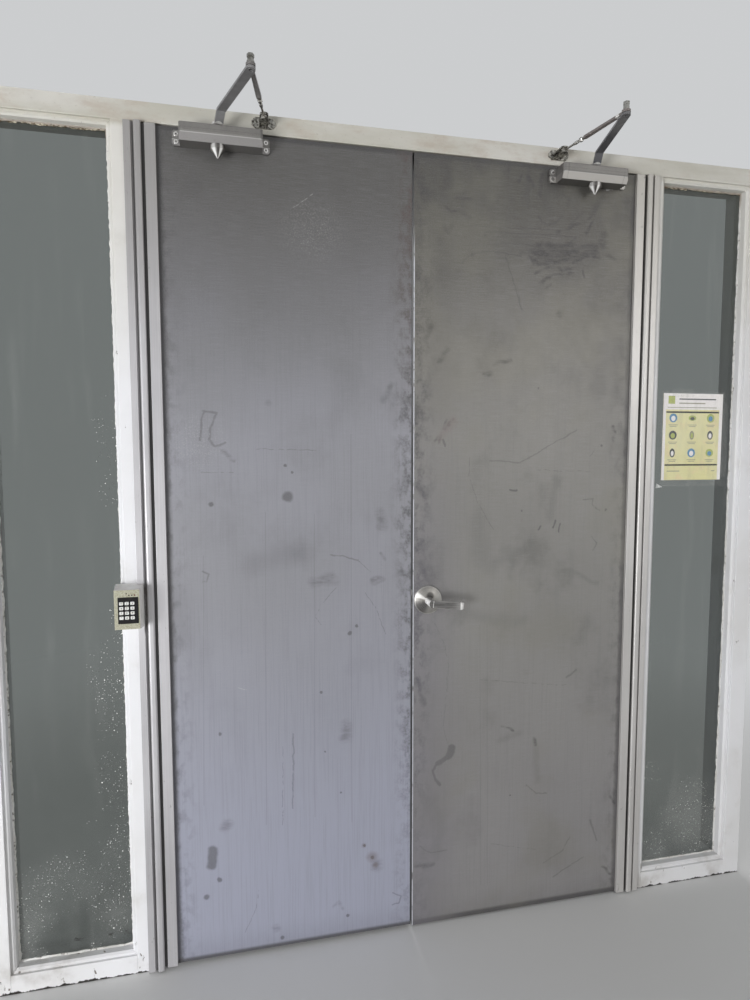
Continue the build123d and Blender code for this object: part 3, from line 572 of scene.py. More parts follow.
def forearm_steel(side):
    """The forearm's painted bar, with the plated rod beyond it."""
    elbow = forearm_ends(side)[0]
    f = Finish(f"{side} forearm steel")
    cloudy = f.grain(30, 5)
    worn = f.grain(120, 6, roughness=0.7)
    painted = f.blend(f.grade(cloudy, 0.3, 0.7), srgb(140, 137, 135), srgb(112, 109, 107))
    if side == "right":
        from_elbow = f.away(f.place, [elbow])
        painted = f.blend(0.5, painted, srgb(128, 116, 112))
        # Painted highlight: a bright band near the elbow.
        elbow_highlight = f.grade(f.off_zero(f.less(from_elbow, 0.026)), 0.008, 0.003)
        painted = f.tint(painted, elbow_highlight, 0.85, srgb(236, 234, 230))
    plated = f.blend(f.grade(worn, 0.42, 0.64), srgb(176, 172, 166), srgb(92, 86, 80))
    rod = f.grade(f.away(f.place, [elbow]), bar_reach(side), bar_reach(side) + 0.002)
    f.bump(worn, 0.00015, 0.4)
    colour = f.blend(rod, painted, plated)
    return f.finish(colour, f.spread(worn, 0.28, 0.50), metallic=f.spread(rod, 0.3, 0.9))


def zinc_plate():
    """Zinc plating, dulled and darkened in patches."""
    f = Finish("zinc plating")
    cloudy = f.grain(60, 6, roughness=0.65)
    fine = f.grain(600, 2)
    colour = f.blend(f.grade(cloudy, 0.42, 0.66), srgb(160, 159, 154), srgb(98, 96, 89))
    f.bump(fine, 0.0001, 0.4)
    return f.finish(colour, f.spread(cloudy, 0.22, 0.48), metallic=0.9)


def shoe_plating():
    """Plating on the shoes, blackened between bright rubbed patches."""
    f = Finish("blackened shoe plating")
    rubbed = f.grain(150, 6, roughness=0.7)
    colour = f.blend(f.grade(rubbed, 0.44, 0.58), srgb(74, 70, 64), srgb(178, 176, 168))
    f.bump(rubbed, 0.0003, 0.5)
    return f.finish(colour, f.spread(rubbed, 0.45, 0.22), metallic=0.85)


def bright_chrome():
    """Bright chrome, with a painted reflection of a dark room at its turned-away edges."""
    f = Finish("bright chrome")
    smudged = f.grain(120, 5)
    turned_away = f.add("ShaderNodeLayerWeight", Blend=0.42).outputs["Facing"]
    colour = f.blend(f.grade(smudged, 0.35, 0.7), srgb(238, 236, 232), srgb(206, 203, 198))
    # Painted reflection: darker where the surface turns away.
    colour = f.blend(f.grade(turned_away, 0.30, 0.62), colour, srgb(84, 81, 77))
    return f.finish(colour, f.spread(smudged, 0.18, 0.32), metallic=0.9)


def cone_chrome():
    """Polished chrome of the spindle cones, striped light and dark in painted reflections as turned metal
    mirrors a room, with painted shade on the collar.
    """
    f = Finish("polished cone chrome")
    smudged = f.grain(120, 5)
    across, outward, _ = f.add("ShaderNodeSeparateXYZ", Vector=f.facing).outputs
    turn = f.math("ARCTAN2", across, f.times(outward, -1.0))
    turn = f.plus(turn, f.spread(f.grade(f.x, -0.1, 0.1), 0.0, 0.50))
    colour = f.blend(f.grade(smudged, 0.35, 0.7), srgb(146, 143, 139), srgb(122, 119, 115))
    # Painted reflections: light and dark stripes round the cone, set by the way each part faces.
    for middle, reach, amount, tone in (
        (-1.45, 0.40, 0.70, srgb(84, 81, 78)), (-0.62, 0.44, 1.0, srgb(252, 251, 248)),
        (0.10, 0.26, 0.85, srgb(58, 55, 53)), (0.56, 0.30, 0.95, srgb(246, 244, 240)),
        (1.30, 0.52, 0.85, srgb(66, 63, 60)),
    ):
        aside = f.off_zero(f.less(turn, middle))
        colour = f.tint(colour, f.grade(aside, reach, reach * 0.35), amount, tone)
    # Painted shade: the collar is dimmer than the cone below it.
    collar_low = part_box("left_closer_spindle_cap")[1].z - 0.011
    on_collar = f.times(f.grade(f.z, collar_low - 0.0004, collar_low + 0.0004), 0.45)
    colour = f.blend(on_collar, colour, srgb(118, 115, 112))
    return f.finish(colour, f.spread(smudged, 0.16, 0.30), metallic=0.35)


def dark_heads():
    """Dark plated screw heads with worn edges."""
    f = Finish("dark plated heads")
    worn = f.grain(260, 5, roughness=0.7)
    colour = f.blend(f.grade(worn, 0.50, 0.70), srgb(44, 42, 41), srgb(96, 93, 90))
    return f.finish(colour, f.spread(worn, 0.55, 0.40), metallic=0.2)


def satin_steel():
    """Satin stainless steel of the roses, brushed in rings, with painted highlights and shade that fan out
    from the middle as light does on such rings.
    """
    f = Finish("satin stainless steel")
    low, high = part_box("outer_rose")
    across = f.less(f.x, (low.x + high.x) / 2)
    up = f.less(f.z, (low.z + high.z) / 2)
    angle = f.math("ARCTAN2", up, across)
    from_middle = f.math("SQRT", f.plus(f.times(across, across), f.times(up, up)))
    rings = f.add("ShaderNodeTexNoise", {"noise_dimensions": "1D"}, W=from_middle, Scale=900.0, Detail=3.0)
    handled = f.grain(38, 5, shift=(0, 2, 0))
    colour = f.blend(f.grade(handled, 0.3, 0.75), srgb(158, 155, 150), srgb(134, 131, 126))
    # Painted highlights and shade, set by the angle round the rose's middle.
    for middle, reach, amount, tone in (
        (-2.45, 1.00, 0.88, srgb(58, 55, 55)), (1.65, 0.75, 0.50, srgb(100, 98, 94)),
        (2.66, 0.30, 0.85, srgb(250, 248, 244)), (0.15, 0.60, 0.55, srgb(214, 212, 206)),
    ):
        aside = f.off_zero(f.less(angle, middle))
        colour = f.tint(colour, f.grade(aside, reach, reach * 0.25), amount, tone)
    colour = f.tint(colour, f.grade(rings.outputs["Fac"], 0.35, 0.7), 0.25, srgb(206, 205, 202))
    neck_shadow = Vector(((low.x + high.x) / 2 + 0.004, low.y, low.z + 0.057))
    over_neck = f.grade(f.away(f.place, [neck_shadow]), 0.014, 0.007)
    colour = f.tint(colour, over_neck, 0.75, srgb(48, 46, 45))
    rim = f.grade(from_middle, 0.0385, 0.0405)
    colour = f.tint(colour, rim, 0.35, srgb(214, 212, 208))
    f.bump(rings.outputs["Fac"], 0.00006, 0.4)
    return f.finish(colour, f.spread(handled, 0.36, 0.48), metallic=0.55)


def lever_steel():
    """Satin steel of the levers: a painted dark reflection on the flat bar, with painted highlights on its
    end and on its neck.
    """
    f = Finish("satin lever steel")
    brushed = f.grain(420, 3, stretch=(0.04, 1, 1))
    handled = f.grain(50, 5, shift=(0, 2, 4))
    across, outward, _ = f.add("ShaderNodeSeparateXYZ", Vector=f.facing).outputs
    flat = f.grade(f.off_zero(outward), 0.75, 0.93)
    at_tip = f.grade(across, 0.75, 0.95)
    colour = f.blend(f.grade(handled, 0.3, 0.75), srgb(150, 148, 145), srgb(128, 126, 123))
    # Painted dark reflection on the flat faces, paler towards the end.
    flat_dark_reflection = f.blend(f.grade(handled, 0.3, 0.7), srgb(66, 64, 63), srgb(88, 86, 84))
    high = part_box("outer_lever")[1]
    flat_dark_reflection = f.blend(f.grade(f.x, high.x - 0.040, high.x - 0.012), flat_dark_reflection, srgb(132, 130, 128))
    colour = f.blend(flat, colour, flat_dark_reflection)
    # Painted highlights on the end face, on a band near the end and on the neck's side.
    facing_out = f.grade(f.off_zero(outward), 0.35, 0.60)
    end_highlight = f.times(facing_out, f.grade(f.x, high.x - 0.0165, high.x - 0.0145))
    bright = f.math("MAXIMUM", f.math("MAXIMUM", at_tip, end_highlight), f.grade(across, -0.45, -0.80))
    colour = f.blend(bright, colour, srgb(253, 252, 249))
    colour = f.tint(colour, f.grade(brushed, 0.3, 0.7), 0.20, srgb(206, 205, 202))
    f.bump(brushed, 0.00006, 0.5)
    return f.finish(colour, f.spread(handled, 0.30, 0.44), metallic=f.spread(bright, 0.15, 0.0))


def keypad_shell():
    """Painted casting with an eggshell texture: a speckled olive-beige front, and paler, rubbed sides whose
    paleness is painted light.
    """
    f = Finish("beige painted casting")
    pebbled = f.grain(900, 2)
    speckled = f.grain(420, 4, roughness=0.7)
    handled = f.grain(48, 5, shift=(1, 1, 1))
    chipped = f.grain(140, 6, roughness=0.7)
    outward = f.add("ShaderNodeSeparateXYZ", Vector=f.facing).outputs[1]
    front = f.grade(outward, -0.90, -0.97)
    # Painted light: the sides and top are much paler than the front, as if lit from above.
    colour = f.blend(f.grade(handled, 0.35, 0.75), srgb(250, 248, 246), srgb(232, 229, 225))
    front_tone = f.blend(f.grade(speckled, 0.36, 0.64), srgb(184, 182, 162), srgb(150, 147, 124))
    colour = f.blend(front, colour, front_tone)
    colour = f.tint(colour, f.grade(chipped, 0.66, 0.72), 0.7, srgb(110, 104, 92))
    f.bump(pebbled, 0.00025, 0.6)
    return f.finish(colour, f.spread(handled, 0.38, 0.58))


def black_panel():
    f = Finish("matt black panel")
    fine = f.grain(1200, 2)
    dusty = f.grain(60, 5)
    colour = f.blend(f.grade(dusty, 0.45, 0.8), srgb(20, 19, 19), srgb(40, 38, 36))
    f.bump(fine, 0.0001, 0.5)
    return f.finish(colour, f.spread(dusty, 0.50, 0.70), Specular_IOR_Level=0.2)


def white_keys():
    f = Finish("white moulded keys")
    touched = f.grain(150, 5)
    colour = f.blend(f.grade(touched, 0.42, 0.75), srgb(228, 228, 225), srgb(196, 193, 184))
    return f.finish(colour, f.spread(touched, 0.28, 0.46))


def sheet_paper():
    """Pale yellow coated paper, a little uneven, that lets some light through to its back."""
    f = Finish("pale yellow sheet")
    fibre = f.grain(700, 3)
    waved = f.grain(9, 3, stretch=(1, 1, 0.5))
    tinted = f.grain(26, 3, shift=(0, 4, 4))
    colour = f.blend(f.grade(waved, 0.3, 0.7), srgb(243, 236, 182), srgb(236, 227, 160))
    colour = f.tint(colour, f.grade(tinted, 0.48, 0.72), 0.6, srgb(246, 222, 172))
    colour = f.tint(colour, f.grade(fibre, 0.35, 0.65), 0.12, srgb(250, 248, 226))
    f.bump(waved, 0.0012, 0.35)
    return f.finish(
        colour,
        f.spread(fibre, 0.42, 0.52),
        Coat_Weight=0.35,
        Subsurface_Weight=0.5,
        Subsurface_Radius=(1, 1, 1),
        Subsurface_Scale=0.003,
    )


def printed(name, colour, paler):
    """Ink on the sheet, uneven as laser print is."""
    f = Finish(name)
    uneven = f.grain(380, 4)
    return f.finish(f.blend(f.grade(uneven, 0.4, 0.8), colour, paler), f.spread(uneven, 0.36, 0.5))


def clear_film():
    """Clear plastic of the sleeve and its tape, lightly scuffed."""
    f = Finish("clear plastic film")
    scuffed = f.grain(40, 5, stretch=(1, 1, 0.3))
    f.feed(f.shader.inputs["Alpha"], f.spread(f.grade(scuffed, 0.4, 0.8), 0.04, 0.16))
    return f.finish(srgb(214, 214, 208), f.spread(scuffed, 0.16, 0.4))


def crumbling_putty():
    """Old putty and paint at the glass edge: white skin over grey, cracked through."""
    f = Finish("crumbling putty")
    cracks = f.grain(95, 7, roughness=0.75)
    cloudy = f.grain(14, 4)
    colour = f.blend(f.grade(cloudy, 0.35, 0.7), srgb(230, 229, 226), srgb(206, 204, 198))
    peeled = f.grade(f.z, -0.13, -0.075)
    colour = f.tint(colour, peeled, 0.75, srgb(136, 122, 104))
    colour = f.blend(f.grade(cracks, 0.55, 0.64), colour, srgb(92, 84, 75))
    f.bump(cracks, 0.0012, 0.8)
    return f.finish(colour, f.spread(cracks, 0.55, 0.85), Specular_IOR_Level=0.3)


def old_putty():
    """Bare, browned putty and flaking paint at the tops of the panes."""
    f = Finish("browned putty")
    cracked = f.grain(130, 7, roughness=0.75)
    colour = f.blend(f.grade(cracked, 0.42, 0.60), srgb(88, 74, 56), srgb(196, 188, 168))
    f.bump(cracked, 0.0015, 0.9)
    return f.finish(colour, f.spread(cracked, 0.6, 0.9), Specular_IOR_Level=0.25)


def lens(name, colour):
    f = Finish(name)
    inside = f.grain(500, 2)
    colour = f.blend(f.grade(inside, 0.3, 0.7), colour, srgb(40, 20, 20))
    return f.finish(colour, f.spread(inside, 0.12, 0.25))


bar_share = {"left": 0.58, "right": 0.63}


def forearm_ends(side):
    """The middles of a forearm's two eyes: at the elbow and at the shoe's pin."""
    ear_radius = 0.011
    elbow_low, elbow_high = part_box(f"{side}_elbow_pin")
    shoe_low, shoe_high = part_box(f"{side}_closer_shoe")
    arm_low, arm_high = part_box(f"{side}_forearm")
    z = (arm_low.z + arm_high.z) / 2
    elbow = Vector(((elbow_low.x + elbow_high.x) / 2, (elbow_low.y + elbow_high.y) / 2, z))
    return elbow, Vector(((shoe_low.x + shoe_high.x) / 2, shoe_low.y + ear_radius, z))


def bar_reach(side):
    """How far the forearm's flat bar goes from the elbow before its rod begins."""
    elbow, shoe_pin = forearm_ends(side)
    return (shoe_pin - elbow).length * bar_share[side]


finishes = {
    "frame_paint": chipped_paint(),
    "pane": dusty_glass(),
    "hinge_alloy": anodised_hinge(),
    "closer_silver": silver_paint(),
    "arm_steel": grey_arm(),
    "arm_plated": zinc_plate(),
    "bright_chrome": bright_chrome(),
    "satin_steel": satin_steel(),
    "keypad_shell": keypad_shell(),
    "keypad_face": black_panel(),
    "key_white": white_keys(),
    "notice_paper": sheet_paper(),
}
leaf_finish = {side: steel_skin(side) for side, _ in SIDES}
forearm_finish = {side: forearm_steel(side) for side, _ in SIDES}
putty_finish = crumbling_putty()
old_putty_finish = old_putty()
lever_finish = lever_steel()
shoe_finish = shoe_plating()
cone_finish = cone_chrome()
head_finish = dark_heads()


def dress_solids():
    """Gives each solid the finish of its slot in the record."""
    for entry in frame["record"]["subparts"]:
        node, slot = entry["node"], entry["material_slot"]
        side = node.split("_")[0]
        look = leaf_finish[side] if slot == "leaf_steel" else finishes[slot]
        if node.endswith("forearm"):
            look = forearm_finish[side]
        elif node.endswith("lever"):
            look = lever_finish
        elif node.endswith("shoe"):
            look = shoe_finish
        solid = frame["nodes"][node]
        for place in solid.material_slots:
            place.material = look
        if not solid.material_slots:
            solid.data.materials.append(look)


dress_solids()


# Making of the small parts

def placed(name, mesh, body, slot, *looks):
    """Adds a mesh as one piece that moves with a body."""
    piece = bpy.data.objects.new(name, mesh)
    bpy.context.scene.collection.objects.link(piece)
    for look in looks:
        mesh.materials.append(look)
    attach(piece, body)
    return piece


def mesh_from(build, name):
    """A mesh made by a function that fills a bmesh, with its faces turned outwards."""
    shape = bmesh.new()
    build(shape)
    bmesh.ops.remove_doubles(shape, verts=shape.verts, dist=1e-6)
    bmesh.ops.recalc_face_normals(shape, faces=shape.faces)
    mesh = bpy.data.meshes.new(name)
    shape.to_mesh(mesh)
    shape.free()
    return mesh


def smooth(mesh, angle_degrees=35):
    mesh.polygons.foreach_set("use_smooth", [True] * len(mesh.polygons))
    mesh.set_sharp_from_angle(angle=math.radians(angle_degrees))


def turned(outline, centre, axis_turn, steps=64):
    """A round piece: an outline of (radius, height) pairs turned about its axis, both ends on the axis."""
    def build(shape):
        rings = []
        for radius, height in outline:
            count = 1 if radius == 0 else steps
            ring = []
            for step in range(count):
                angle = 2 * math.pi * step / steps
                local = Vector((radius * math.cos(angle), radius * math.sin(angle), height))
                ring.append(shape.verts.new(centre + axis_turn @ local))
            rings.append(ring)
        for low, high in zip(rings, rings[1:]):
            for step in range(steps):
                corners = [low[step % len(low)], low[(step + 1) % len(low)]]
                corners += [high[(step + 1) % len(high)], high[step % len(high)]]
                corners = list(dict.fromkeys(corners))
                if len(corners) > 2:
                    shape.faces.new(corners)
    return build


def arc(centre, radius, start_degrees, end_degrees, steps):
    """Points on an arc, as (radius, height) pairs."""
    turn = end_degrees - start_degrees
    angles = [math.radians(start_degrees + turn * i / steps) for i in range(steps + 1)]
    return [(centre[0] + radius * math.cos(a), centre[1] + radius * math.sin(a)) for a in angles]


class Grown(Nodes):
    """A Geometry Nodes tree with named sizes, ending in Realize Instances and Set Material."""

    def __init__(self, name, sizes):
        self.tree = bpy.data.node_groups.new(name, "GeometryNodeTree")
        sockets = self.tree.interface
        sockets.new_socket("Start", in_out="INPUT", socket_type="NodeSocketGeometry")
        for label, value in sizes.items():
            kind = "NodeSocketInt" if isinstance(value, int) else "NodeSocketFloat"
            sockets.new_socket(label, in_out="INPUT", socket_type=kind).default_value = value
        sockets.new_socket("Finish", in_out="INPUT", socket_type="NodeSocketMaterial")
        sockets.new_socket("Made", in_out="OUTPUT", socket_type="NodeSocketGeometry")
        self.inputs = self.tree.nodes.new("NodeGroupInput").outputs
        self.end = self.tree.nodes.new("NodeGroupOutput")

    def circle(self, sides, radius):
        kind = "GeometryNodeCurvePrimitiveCircle"
        return self.add(kind, {"mode": "RADIUS"}, Resolution=sides, Radius=radius).outputs[0]

    def joined(self, *geometries):
        node = self.tree.nodes.new("GeometryNodeJoinGeometry")
        for geometry in geometries:
            self.tree.links.new(geometry, node.inputs[0])
        return node.outputs[0]

    def close(self, geometry):
        real = self.add("GeometryNodeRealizeInstances", Geometry=geometry)
        look = self.add("GeometryNodeSetMaterial", Geometry=real.outputs[0], Material=self.inputs["Finish"])
        self.tree.links.new(look.outputs[0], self.end.inputs[0])
        return self

    def made(self, name, start, finish, sizes=None):
        """Runs the tree on a mesh and gives the result as a plain mesh."""
        holder = bpy.data.objects.new(name, start)
        bpy.context.scene.collection.objects.link(holder)
        modifier = holder.modifiers.new(name, "NODES")
        modifier.node_group = self.tree
        values = dict(sizes or {}, Finish=finish)
        for item in self.tree.interface.items_tree:
            if item.in_out == "INPUT" and item.name in values:
                modifier[item.identifier] = values[item.name]
        graph = bpy.context.evaluated_depsgraph_get()
        mesh = bpy.data.meshes.new_from_object(holder.evaluated_get(graph))
        bpy.data.objects.remove(holder)
        mesh.materials.clear()
        mesh.materials.append(finish)
        mesh.polygons.foreach_set("material_index", [0] * len(mesh.polygons))
        return mesh


def points_mesh(name, places):
    mesh = bpy.data.meshes.new(name)
    mesh.from_pydata([tuple(place) for place in places], [], [])
    return mesh


def screw_tree():
    """Cross-slotted pan-head screws on points, their axes along Y, each turned by chance."""
    sizes = {"Head radius": 0.004, "Head height": 0.0022, "Slot width": 0.0011, "Seed": 4}
    g = Grown("pan-head screws", sizes)
    radius, height, slot = g.inputs["Head radius"], g.inputs["Head height"], g.inputs["Slot width"]
    rim = g.add("GeometryNodeMeshCylinder", Vertices=24, Radius=radius, Depth=g.math("MULTIPLY", height, 0.5))
    crown = g.add(
        "GeometryNodeMeshCone",
        Vertices=24,
        Radius_Top=g.math("MULTIPLY", radius, 0.62),
        Radius_Bottom=radius,
        Depth=g.math("MULTIPLY", height, 0.5),
    )
    lift = g.add("ShaderNodeCombineXYZ", Z=g.math("MULTIPLY", height, 0.25))
    crown_up = g.add("GeometryNodeTransform", Geometry=crown.outputs[0], Translation=lift.outputs[0])
    head = g.joined(rim.outputs[0], crown_up.outputs[0])
    arms = []
    for long_side in ("X", "Y"):
        sizes = {"X": slot, "Y": slot, "Z": height}
        sizes[long_side] = g.math("MULTIPLY", radius, 1.1)
        size = g.add("ShaderNodeCombineXYZ", **sizes)
        cube = g.add("GeometryNodeMeshCube", Size=size.outputs[0])
        raised = g.add("ShaderNodeCombineXYZ", Z=height)
        arm = g.add("GeometryNodeTransform", Geometry=cube.outputs[0], Translation=raised.outputs[0])
        arms.append(arm.outputs[0])
    cut = g.add("GeometryNodeMeshBoolean", {"operation": "DIFFERENCE"}, Mesh_1=head)
    g.tree.links.new(g.joined(*arms), cut.inputs["Mesh 2"])
    facing = g.add("GeometryNodeTransform", Geometry=cut.outputs[0], Rotation=(math.pi / 2, 0, 0))
    chance = g.add("FunctionNodeRandomValue", {"data_type": "FLOAT"}, Seed=g.inputs["Seed"])
    turn = g.add("ShaderNodeCombineXYZ", Y=g.math("MULTIPLY", chance.outputs[1], math.pi))
    set_out = g.add("GeometryNodeInstanceOnPoints", Points=g.inputs["Start"], Instance=facing.outputs[0])
    twisted = g.add("GeometryNodeRotateInstances", Instances=set_out.outputs[0], Rotation=turn.outputs[0])
    return g.close(twisted.outputs[0])


screws = screw_tree()


def screws_at(name, places, body, slot, radius, look):
    mesh = screws.made(name, points_mesh(name, places), look, {"Head radius": radius})
    smooth(mesh, 30)
    placed(name, mesh, body, slot)


def washers_at(name, places, body, radius):
    """Flat bright rings under screw heads."""
    def build(shape):
        turn = Matrix.Rotation(math.pi / 2, 3, "X")
        for place in places:
            ring = [(0, 0), (radius, 0), (radius, 0.0005), (radius - 0.0003, 0.0007), (0, 0.0007)]
            turned(ring, place, turn, 28)(shape)
    mesh = mesh_from(build, name)
    smooth(mesh, 30)
    placed(name, mesh, body, "bright_chrome", finishes["bright_chrome"])


def grid_of_four(low, high, inset, pitch, y):
    """Four places on a face: in from both ends, and above and below its middle."""
    middle_z = (low.z + high.z) / 2
    return [Vector((x, y, middle_z + dz)) for x in (low.x + inset, high.x - inset) for dz in (-pitch, pitch)]


def closer_screws():
    """Four screws through each closer's tabs and four through each shoe."""
    tab_pitch, tab_screw_radius, ring_radius = 0.0095, 0.0047, 0.0059
    shoe_inset, shoe_pitch, shoe_screw_radius, shoe_base = 0.0105, 0.0062, 0.0034, 0.004
    for side, _ in SIDES:
        low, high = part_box(f"{side}_closer_plate")
        body_low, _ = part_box(f"{side}_closer_body")
        inset = (body_low.x - low.x) / 2
        places = grid_of_four(low, high, inset, tab_pitch, low.y)
        body = f"{side}_door"
        screws_at(f"{side}_closer_screws", places, body, "arm_plated", tab_screw_radius, head_finish)
        washers_at(f"{side}_closer_screw_rings", places, body, ring_radius)
        low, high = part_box(f"{side}_closer_shoe")
        places = grid_of_four(low, high, shoe_inset, shoe_pitch, high.y - shoe_base)
        look = finishes["arm_plated"]
        screws_at(f"{side}_shoe_screws", places, "frame", "arm_plated", shoe_screw_radius, look)


closer_screws()


def spindle_collars():
    """Bright flanged rings on the closers' spindles, under the main arms."""
    neck_radius, flange_radius, ring_height = 0.0124, 0.0158, 0.0070
    chamfer, edge, flange_start, clearance = 0.0005, 0.0008, 0.0024, 0.0002
    for side, _ in SIDES:
        cap_low, cap_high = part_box(f"{side}_closer_spindle_cap")
        top_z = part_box(f"{side}_closer_plate")[1].z
        foot = Vector(((cap_low.x + cap_high.x) / 2, (cap_low.y + cap_high.y) / 2, top_z + clearance))
        outline = [(0, 0), (neck_radius - chamfer, 0), (neck_radius, chamfer), (neck_radius, flange_start)]
        outline += [(flange_radius - edge, flange_start + edge), (flange_radius, flange_start + 2 * edge)]
        outline += arc((flange_radius - edge, ring_height - edge), edge, 0, 90, 4) + [(0, ring_height)]
        mesh = mesh_from(turned(outline, foot, Matrix.Identity(3)), f"{side}_spindle_collar")
        smooth(mesh)
        placed(f"{side}_spindle_collar", mesh, f"{side}_door", "bright_chrome", cone_finish)


spindle_collars()


def thread_tree():
    """A rod's screw thread as close rings along Z, from the origin up."""
    g = Grown("rod thread", {"Rings": 24, "Pitch": 0.0016, "Rod radius": 0.0028, "Crest": 0.0007})
    rise = g.add("ShaderNodeCombineXYZ", Z=g.inputs["Pitch"])
    line = g.add("GeometryNodeMeshLine", Count=g.inputs["Rings"], Offset=rise.outputs[0])
    around, section = g.circle(24, g.inputs["Rod radius"]), g.circle(6, g.inputs["Crest"])
    ring = g.add("GeometryNodeCurveToMesh", Curve=around, Profile_Curve=section)
    set_out = g.add("GeometryNodeInstanceOnPoints", Points=line.outputs[0], Instance=ring.outputs[0])
    return g.close(set_out.outputs[0])


thread = thread_tree()


def forearm_adjusters():
    """The forearm's threaded rod with its lock nut and sleeve, between the flat bar and the shoe."""
    bar_tip, nut_start, sleeve_start = 0.008, 0.002, 0.019
    for side, _ in SIDES:
        elbow, shoe_pin = forearm_ends(side)
        direction = (shoe_pin - elbow).normalized()
        turn = direction.to_track_quat("Z", "Y").to_matrix()
        start = elbow + direction * (bar_reach(side) + bar_tip)
        body = f"{side}_link"
        origin = points_mesh("thread start", [(0, 0, 0)])
        mesh = thread.made(f"{side}_rod_thread", origin, finishes["arm_plated"])
        mesh.transform(Matrix.Translation(start) @ turn.to_4x4())
        smooth(mesh, 60)
        placed(f"{side}_rod_thread", mesh, body, "arm_plated")
        nut = [(0, 0), (0.0056, 0), (0.0062, 0.0007), (0.0062, 0.0093), (0.0056, 0.0100), (0, 0.0100)]
        sleeve = [(0, 0), (0.0040, 0), (0.0045, 0.0006), (0.0045, 0.0114), (0.0040, 0.0120), (0, 0.0120)]
        for name, outline, along, steps in (
            ("lock_nut", nut, nut_start, 6), ("sleeve", sleeve, sleeve_start, 32),
        ):
            mesh = mesh_from(turned(outline, start + direction * along, turn, steps), name)
            smooth(mesh, 30)
            placed(f"{side}_{name}", mesh, body, "bright_chrome", finishes["bright_chrome"])


forearm_adjusters()


def putty_tree():
    """A crumbling fillet of putty along a loop of edges."""
    g = Grown("putty fillet", {"Width": 0.009, "Step": 0.006, "Roughness": 0.006, "Noise scale": 70.0})
    line = g.add("GeometryNodeMeshToCurve", Mesh=g.inputs["Start"])
    by_length = {"mode": "LENGTH"}
    even = g.add("GeometryNodeResampleCurve", by_length, Curve=line.outputs[0], Length=g.inputs["Step"])
    section = g.circle(6, g.inputs["Width"])
    tube = g.add("GeometryNodeCurveToMesh", Curve=even.outputs[0], Profile_Curve=section, Fill_Caps=True)
    pattern = g.add("ShaderNodeTexNoise", Scale=g.inputs["Noise scale"], Detail=3.0)
    centred = g.add("ShaderNodeVectorMath", {"operation": "SUBTRACT"})
    g.feed(centred.inputs[0], pattern.outputs["Color"])
    g.feed(centred.inputs[1], (0.5, 0.5, 0.5))
    pushed = g.add("ShaderNodeVectorMath", {"operation": "SCALE"}, Scale=g.inputs["Roughness"])
    g.feed(pushed.inputs[0], centred.outputs[0])
    rough = g.add("GeometryNodeSetPosition", Geometry=tube.outputs[0], Offset=pushed.outputs[0])
    return g.close(rough.outputs[0])


putty = putty_tree()


def glazing_putty():
    """Putty where each pane meets its front beads."""
    for side, _ in SIDES:
        low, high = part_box(f"{side}_front_beads")
        inset = 0.0125
        x_low, x_high, z_low, z_high = low.x + inset, high.x - inset, low.z + inset, high.z - inset
        y = glass_front_y + 0.0015
        corners = [(x_low, y, z_low), (x_high, y, z_low), (x_high, y, z_high), (x_low, y, z_high)]
        loop = bpy.data.meshes.new(f"{side}_putty_line")
        loop.from_pydata(corners, [(0, 1), (1, 2), (2, 3), (3, 0)], [])
        mesh = putty.made(f"{side}_putty_line", loop, putty_finish, {"Width": 0.0042, "Roughness": 0.009})
        smooth(mesh, 60)
        placed(f"{side}_glazing_putty", mesh, "frame", "frame_paint")
        top_edge = bpy.data.meshes.new(f"{side}_top_putty_line")
        z = z_high - 0.0035
        top_edge.from_pydata([(x_low + 0.001, y, z), (x_high - 0.001, y, z)], [(0, 1)], [])
        sizes = {"Width": 0.0026, "Step": 0.004, "Roughness": 0.013, "Noise scale": 120.0}
        mesh = putty.made(f"{side}_top_putty_line", top_edge, old_putty_finish, sizes)
        smooth(mesh, 60)
        placed(f"{side}_flaking_putty", mesh, "frame", "frame_paint")


glazing_putty()


def lever_roses():
    """Smooth domed roses in place of the faceted solids."""
    rose_radius, bore, rim, crown = 0.042, 0.0123, 0.003, 0.013
    for name, out in (("outer", -1), ("inner", 1)):
        low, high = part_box(f"{name}_rose")
        wall_y = high.y if out < 0 else low.y
        centre = Vector(((low.x + high.x) / 2, wall_y, (low.z + high.z) / 2))
        turn = Matrix.Rotation(math.radians(90 if out < 0 else -90), 3, "X")
        edge = arc((rose_radius - 0.002, rim), 0.002, 0, 50, 4)
        reach = rose_radius - 0.0009 - bore
        dome = [(edge[-1][0] - reach * t, edge[-1][1] + (crown - edge[-1][1]) * math.sin(t * math.pi / 2))
                for t in [i / 10 for i in range(1, 11)]]
        outline = [(bore, 0), (rose_radius, 0)] + edge + dome + [(bore, 0)]
        mesh = mesh_from(turned(outline, centre, turn), f"{name}_rose_dome")
        smooth(mesh)
        body = "right_door"
        piece = placed(f"{name}_rose_dome", mesh, body, "satin_steel", finishes["satin_steel"])
        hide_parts(f"{name}_rose")


lever_roses()


